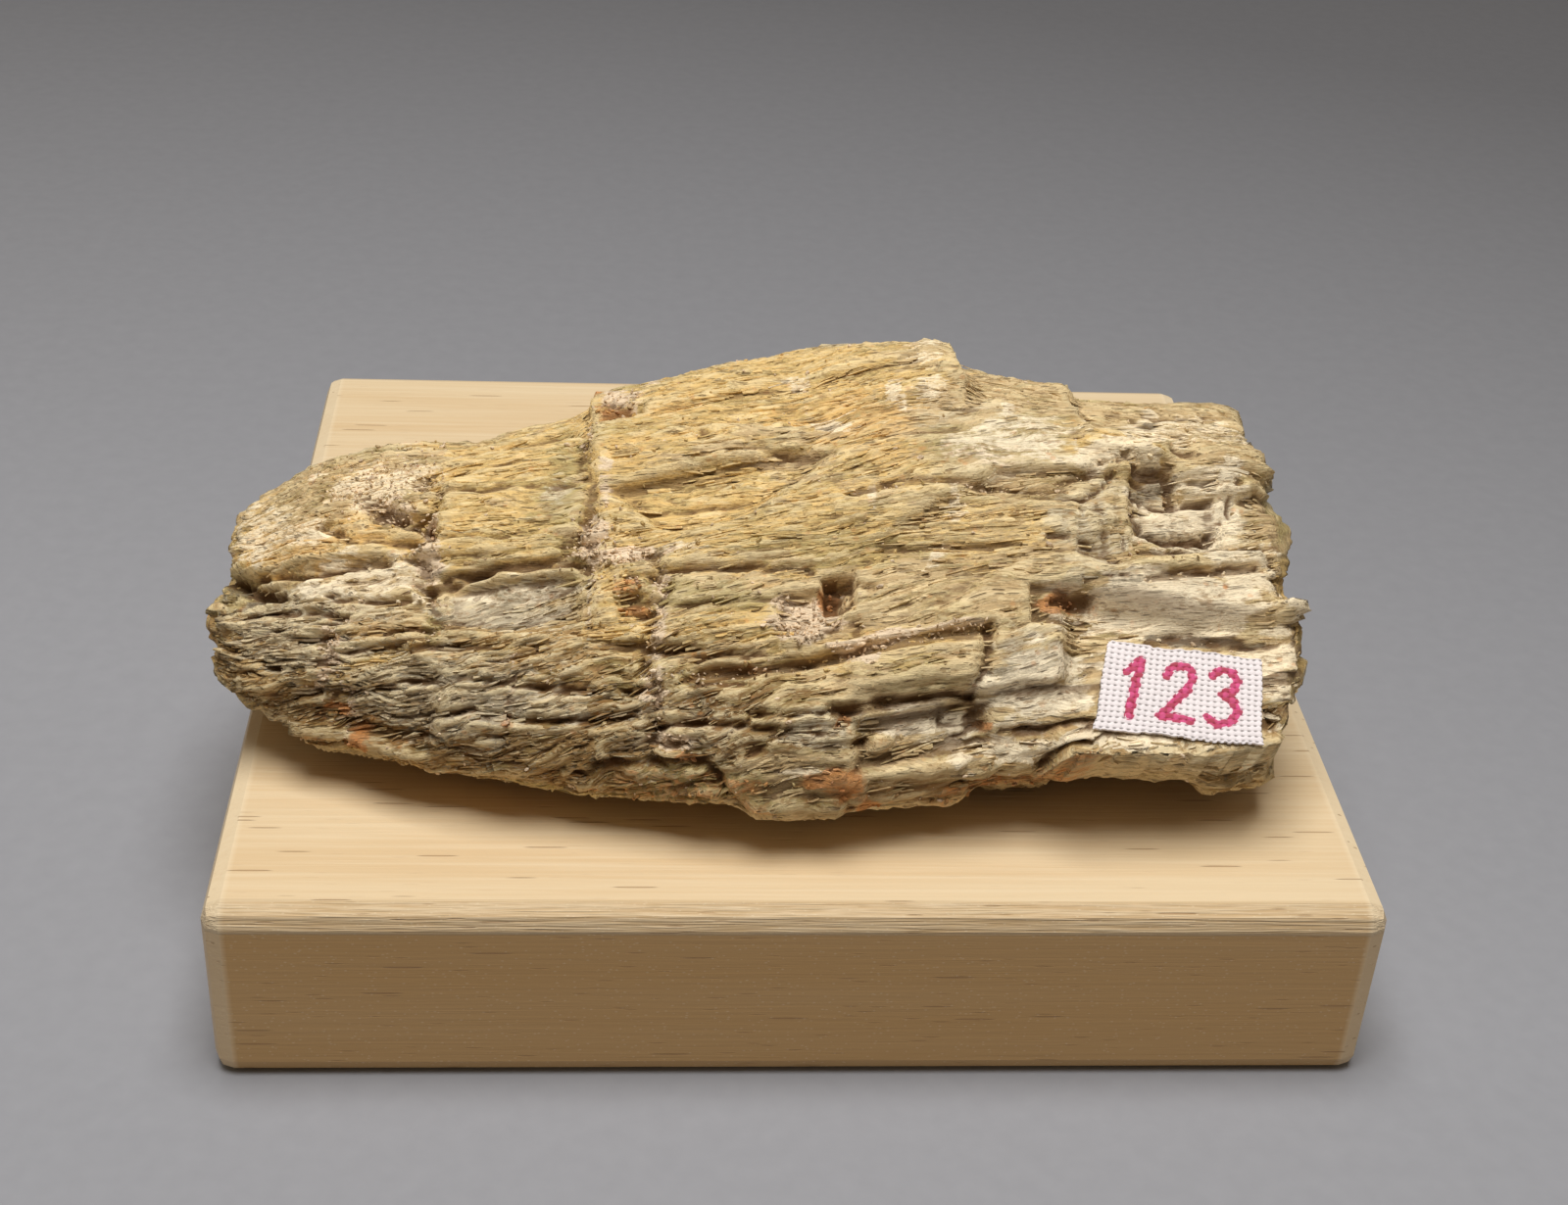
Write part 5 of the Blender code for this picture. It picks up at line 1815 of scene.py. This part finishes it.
lean = (broad - 0.5) * 1.8 + (flake - 0.5) * 0.6 + (own_tone - 0.5) * 0.5
colour = stone_finish.blend(BROWN_TAN, TAN, lean + 0.55)
colour = stone_finish.blend(colour, LOW_TAN, rough_fibres * (0.45 + broad * 0.7))
# darker brown towards the bottom of the seen front, and in patches on the back
colour = stone_finish.blend(colour, LOW_BROWN, frayed(low) * 0.85)
colour = stone_finish.blend(colour, YELLOW, frayed(yellow) * 0.85)
colour = stone_finish.blend(colour, ORANGE, frayed(orange) * 0.7)
colour = stone_finish.blend(colour, OLIVE, (cluster + (streaks - 0.5) * 0.5).above(0.56, 0.14) * 0.5)
colour = stone_finish.blend(colour, OLIVE, frayed(olive, 0.34) * 0.7)
grey_tone = stone_finish.blend(DEEP_GREY, GREY, (streaks + (flake - 0.5) * 0.4).above(0.38, 0.3))
colour = stone_finish.blend(colour, grey_tone, frayed(grey, 0.36) * 0.75)
grey_fibres = (thread + (streaks - 0.5) * 0.8).above(0.86, 0.12)
colour = stone_finish.blend(colour, DEEP_GREY, grey_fibres * (0.25 + rough_fibres * 0.45))
# cream crests: partly a tone along streaks and flakes, partly a painted highlight on raised places,
# from the valley value
crest_tone_and_highlight = (streaks * 0.6 + flake * 0.3 - valley_share * 0.35).above(0.62, 0.22)
colour = stone_finish.blend(colour, CREAM, crest_tone_and_highlight * 0.55)
# pale marks, partly painted light on places in shade
colour = stone_finish.blend(colour, PALE, frayed(pale_and_painted_light, 0.46, 0.25) * 0.75)
colour = stone_finish.blend(colour, CLAY, frayed(clay, 0.42, 0.25) * 0.9)
rust_tone = stone_finish.blend(DEEP_RUST, RUST, (crumbs + (own_tone - 0.5) * 0.4).above(0.42, 0.3))
colour = stone_finish.blend(colour, rust_tone, frayed(rust, 0.48, 0.4) * 0.8)
speck = stone_finish.cells(place, (1.6, 1.3, 1.3))
rust_specks = (0.20 - speck).above(0.0, 0.12) * blotch.above(0.55, 0.15)
colour = stone_finish.blend(colour, RUST, rust_specks * 0.4)
colour = stone_finish.blend(colour, FLECK, (fleck + (cluster - 0.5) * 0.5).above(0.60, 0.10) * 0.55)
colour = stone_finish.blend(colour, DIRT_AND_SHADE, hairline * 0.6)
# painted shade in the valleys of the relief
valley_shade_depth = valley_share * 0.9 + (hair - 0.5) * -0.9 + (streaks - 0.5) * -0.8
colour = stone_finish.blend(colour, DIRT_AND_SHADE, valley_shade_depth.above(0.44, 0.55) * 0.68)
# painted shade in recesses, holes and under ledges
colour = stone_finish.blend(colour, PAINTED_DEEP_SHADE, frayed(painted_shade, 0.5, 0.4) * 0.7)
# painted shade in the hollows of the fine relief
hollow_shade_depth = hollow_shade_share + (crumbs - 0.5) * 0.9 + (hair - 0.5) * 0.9
colour = stone_finish.blend(colour, DIRT_AND_SHADE, hollow_shade_depth.above(0.74, 0.4) * 0.6)
lightness = 0.77 + (hair - 0.5) * 0.36 + crumbs * 0.25 + flake * 0.12 + thread * 0.08
# pale places are also made lighter: partly painted light
lightness = lightness + frayed(pale_and_painted_light, 0.46, 0.25) * 0.10 + (own_tone - 0.5) * 0.18
colour = stone_finish.shade(colour, lightness)

height = flake * 0.50 + thread * 0.26 + hair * 0.25 + streaks * 0.30 + crumbs * 0.45 - hairline * 0.6
roughness = 0.74 + (crumbs - 0.5) * 0.25 + clay * 0.08
stone_look = stone_finish.surface(colour, roughness, height, STONE_BUMP, Specular_IOR_Level=0.3)
for mesh in (stone_mesh, front_slivers, back_slivers, crumbs_mesh):
    mesh.materials.append(stone_look)
print("stone finish nodes:", len(stone_finish.nodes))

# %% [markdown]
# ## The cloth's finish
#
# Cotton is matt and soft, so it gets a little sheen. The ink soaks into the threads: it is deeper
# where the level thread lies on top, patchy where it pools, and its border frays.

# %% Wire the cloth's finish
COTTON = tint(251, 242, 242)
COTTON_SHADE = tint(122, 118, 114)
INK = tint(228, 66, 138)
INK_DEEP = tint(174, 6, 58)
INK_HALO = tint(246, 190, 208)

cloth_finish = Finish("white cotton with crimson ink")
cloth_place = cloth_finish.attribute("cloth_place", "Vector")
ink_share = cloth_finish.attribute("ink")
fuzz = cloth_finish.cloud(cloth_place, (0.12, 0.12, 0.12), 3.0, 0.6)
soil = cloth_finish.cloud(cloth_place, (3.5, 2.6, 3.0), 3.0, 0.55)
thread_top = cloth_finish.attribute("thread_top")
upright = cloth_finish.attribute("upright")
# painted shade in the holes of the weave, mixed with real soiling
clean_and_lit = thread_top * 0.8 + (fuzz - 0.5) * 0.25 + (soil - 0.5) * 0.3 + upright * 0.1 + 0.15
cotton = cloth_finish.blend(COTTON_SHADE, COTTON, clean_and_lit)
ink_pool = cloth_finish.cloud(cloth_place, (0.9, 0.7, 1.0), 2.0, 0.5)
ink_mix = upright * 0.55 + (ink_pool - 0.5) * 2.2 + (fuzz - 0.5) * 0.4 + 0.18
ink_tone = cloth_finish.blend(INK_DEEP, INK, ink_mix)
ink_edge = (ink_share + (fuzz - 0.5) * 0.7).above(0.5, 0.4)
halo = cloth_finish.attribute("ink_halo")
cloth_colour = cloth_finish.blend(cotton, INK_HALO, halo * (0.15 + ink_pool * 0.5))
cloth_colour = cloth_finish.blend(cloth_colour, ink_tone, ink_edge * 0.92)
cloth_look = cloth_finish.surface(cloth_colour, 0.86 + (fuzz - 0.5) * 0.15, fuzz, 0.05,
                                  Sheen_Weight=0.25, Sheen_Roughness=0.5)
cloth_mesh.materials.append(cloth_look)
print("cloth finish nodes:", len(cloth_finish.nodes))

# %% [markdown]
# ## The wooden block's finish
#
# The block is a pale, close-grained wood such as beech, sawn with its grain along X. Its solid
# keeps its shape, so only a finish is needed: faint broad bands, fine lines along the grain, and
# the short brown dashes where pores were cut. The chamfers at left and right show end grain.

# %% Wire the wood's finish
WOOD = tint(232, 210, 172)
WOOD_WARM = tint(221, 189, 143)
CHAMFER_TINT = tint(206, 174, 128)
WOOD_PALE = tint(240, 221, 186)
# painted shade for the block's sides
PAINTED_SIDE_SHADE = tint(202, 158, 96)
PORE = tint(168, 122, 78)
CHAMFER_WIDTH = 2.3
PORE_CELL = (21.0, 0.85, 0.85)
SHORT_PORE_CELL = (6.5, 0.62, 0.62)
FLECK_CELL = (0.9, 0.45, 0.45)

wood_finish = Finish("pale close-grained wood")
wood_place = wood_finish.place()
wood_x, wood_y, wood_z = wood_finish.parts(wood_place)
block_low, block_high = (np.array(corner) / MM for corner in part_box("wooden_block"))
at_front = (block_low[1] + CHAMFER_WIDTH - wood_y).above(0.0, 0.5)
at_top = (wood_z - (block_high[2] - CHAMFER_WIDTH)).above(0.0, 0.4)
front_chamfer = at_front * at_top
end_grain = (wood_x.maths("ABSOLUTE") - (block_high[0] - CHAMFER_WIDTH)).above(0.0, 0.6)
bands = wood_finish.cloud(wood_place, (140.0, 9.0, 9.0), 3.0, 0.55, 0.2)
lines = wood_finish.cloud(wood_place, (30.0, 0.55, 0.55), 3.0, 0.6)
fine_lines = wood_finish.cloud(wood_place, (9.0, 0.22, 0.22), 2.0, 0.6, 0.1)
pores = wood_finish.cells(wood_place, PORE_CELL)
pore_mask = (0.10 - pores).above(0.0, 0.03)
short_pores = (0.13 - wood_finish.cells(wood_place, SHORT_PORE_CELL)).above(0.0, 0.08)
short_pores = short_pores * (0.25 + at_front * 0.75)
flecks = (0.17 - wood_finish.cells(wood_place, FLECK_CELL)).above(0.0, 0.08)
wood_colour = wood_finish.blend(WOOD_WARM, WOOD, bands.above(0.45, 0.45))
wood_colour = wood_finish.blend(wood_colour, WOOD_PALE, lines.above(0.58, 0.3) * 0.45)
side_face = (1.0 - at_top).at_most(1.0)
# painted shade: the sides below the top are darker than the top
wood_colour = wood_finish.blend(wood_colour, PAINTED_SIDE_SHADE, side_face * (0.55 + bands * 0.5))
chamfer_lines = fine_lines.above(0.52, 0.3)
wood_colour = wood_finish.blend(wood_colour, CHAMFER_TINT, front_chamfer * 0.9)
wood_colour = wood_finish.blend(wood_colour, WOOD_PALE, front_chamfer * chamfer_lines * 0.55)
wood_colour = wood_finish.blend(wood_colour, WOOD_PALE, end_grain * 0.55)
wood_colour = wood_finish.blend(wood_colour, WOOD_PALE, flecks * at_front * 0.35)
all_pores = (pore_mask + short_pores * 0.6).at_most(1.0)
wood_colour = wood_finish.blend(wood_colour, PORE, all_pores * 0.55)
wood_height = lines * 0.5 + fine_lines * (0.3 + front_chamfer * 2.2)
wood_height = wood_height - pore_mask * 0.9 - short_pores * 0.6
wood_look = wood_finish.surface(wood_colour, 0.55 + (lines - 0.5) * 0.3, wood_height, 0.10,
                                Specular_IOR_Level=0.4)
block = bpy.data.objects["wooden_block"]
for slot_index in range(len(block.material_slots)):
    block.material_slots[slot_index].material = wood_look
print("wood finish nodes:", len(wood_finish.nodes))

# %% [markdown]
# ## Floor and light
#
# The picture has soft light from overhead, a little behind the stone, and only a weak fill from
# the front, so the front faces stay much darker than the top. One wide lamp above and a dim, warm,
# even sky give that; the block's sides also carry painted shade, and the floor painted shade
# towards the back.

# %% Set the stage
FLOOR_HALF = 1.6
FLOOR_GREY = tint(150, 151, 156)
FLOOR_PALE = tint(158, 159, 164)
FLOOR_SPECKLE = 400.0
# the floor's painted shade towards the back
FADE_START = -0.02
FADE_LENGTH = 0.34
FADE_TURN = 0.42
FADE_DEPTH = 0.45
LAMP_PLACE = (-0.02, -0.07, 0.62)
LAMP_TARGET = (0, 0, 0.04)
LAMP_SIZE = 0.36
LAMP_POWER = 3.8
SKY_COLOUR = (1.0, 0.80, 0.58, 1)
SKY_STRENGTH = 0.16

floor_mesh = bpy.data.meshes.new("floor")
floor_corners = [(x * FLOOR_HALF, y * FLOOR_HALF, 0) for x, y in ((-1, -1), (1, -1), (1, 1), (-1, 1))]
floor_mesh.from_pydata(floor_corners, [], [(0, 1, 2, 3)])
floor = bpy.data.objects.new("floor", floor_mesh)
bpy.context.scene.collection.objects.link(floor)
floor_finish = Finish("pale floor")
floor_place = floor_finish.add("TexCoord", {}, {}, "Object")
speckle = floor_finish.add("TexNoise", {}, {
    "Vector": floor_place, "Scale": FLOOR_SPECKLE, "Detail": 2.0})
floor_colour = floor_finish.blend(FLOOR_GREY, FLOOR_PALE, speckle)
floor_x, floor_y, _ = floor_finish.parts(floor_place)
# painted shade: the floor darkens towards the back, as the lamp's light falls off
painted_floor_shade = (floor_y + floor_x * FADE_TURN - FADE_START) / FADE_LENGTH
painted_floor_shade = painted_floor_shade.at_least(0.0).at_most(1.0)
floor_colour = floor_finish.shade(floor_colour, 1.0 - painted_floor_shade * FADE_DEPTH)
floor_mesh.materials.append(floor_finish.surface(floor_colour, 0.8))


def soft_lamp(name, place, target, size, power):
    """A square area lamp that faces a target."""
    lamp = bpy.data.lights.new(name, "AREA")
    lamp.shape = "SQUARE"
    lamp.size = size
    lamp.energy = power
    holder = bpy.data.objects.new(name, lamp)
    aim = (Vector(target) - Vector(place)).to_track_quat("-Z", "Y").to_matrix().to_4x4()
    holder.matrix_world = Matrix.Translation(place) @ aim
    bpy.context.scene.collection.objects.link(holder)


soft_lamp("overhead", LAMP_PLACE, LAMP_TARGET, LAMP_SIZE, LAMP_POWER)
world = bpy.data.worlds.new("soft sky")
world.use_nodes = True
sky = world.node_tree.nodes["Background"]
sky.inputs["Color"].default_value = SKY_COLOUR
sky.inputs["Strength"].default_value = SKY_STRENGTH
bpy.context.scene.world = world
bpy.context.scene.view_settings.view_transform = "Standard"
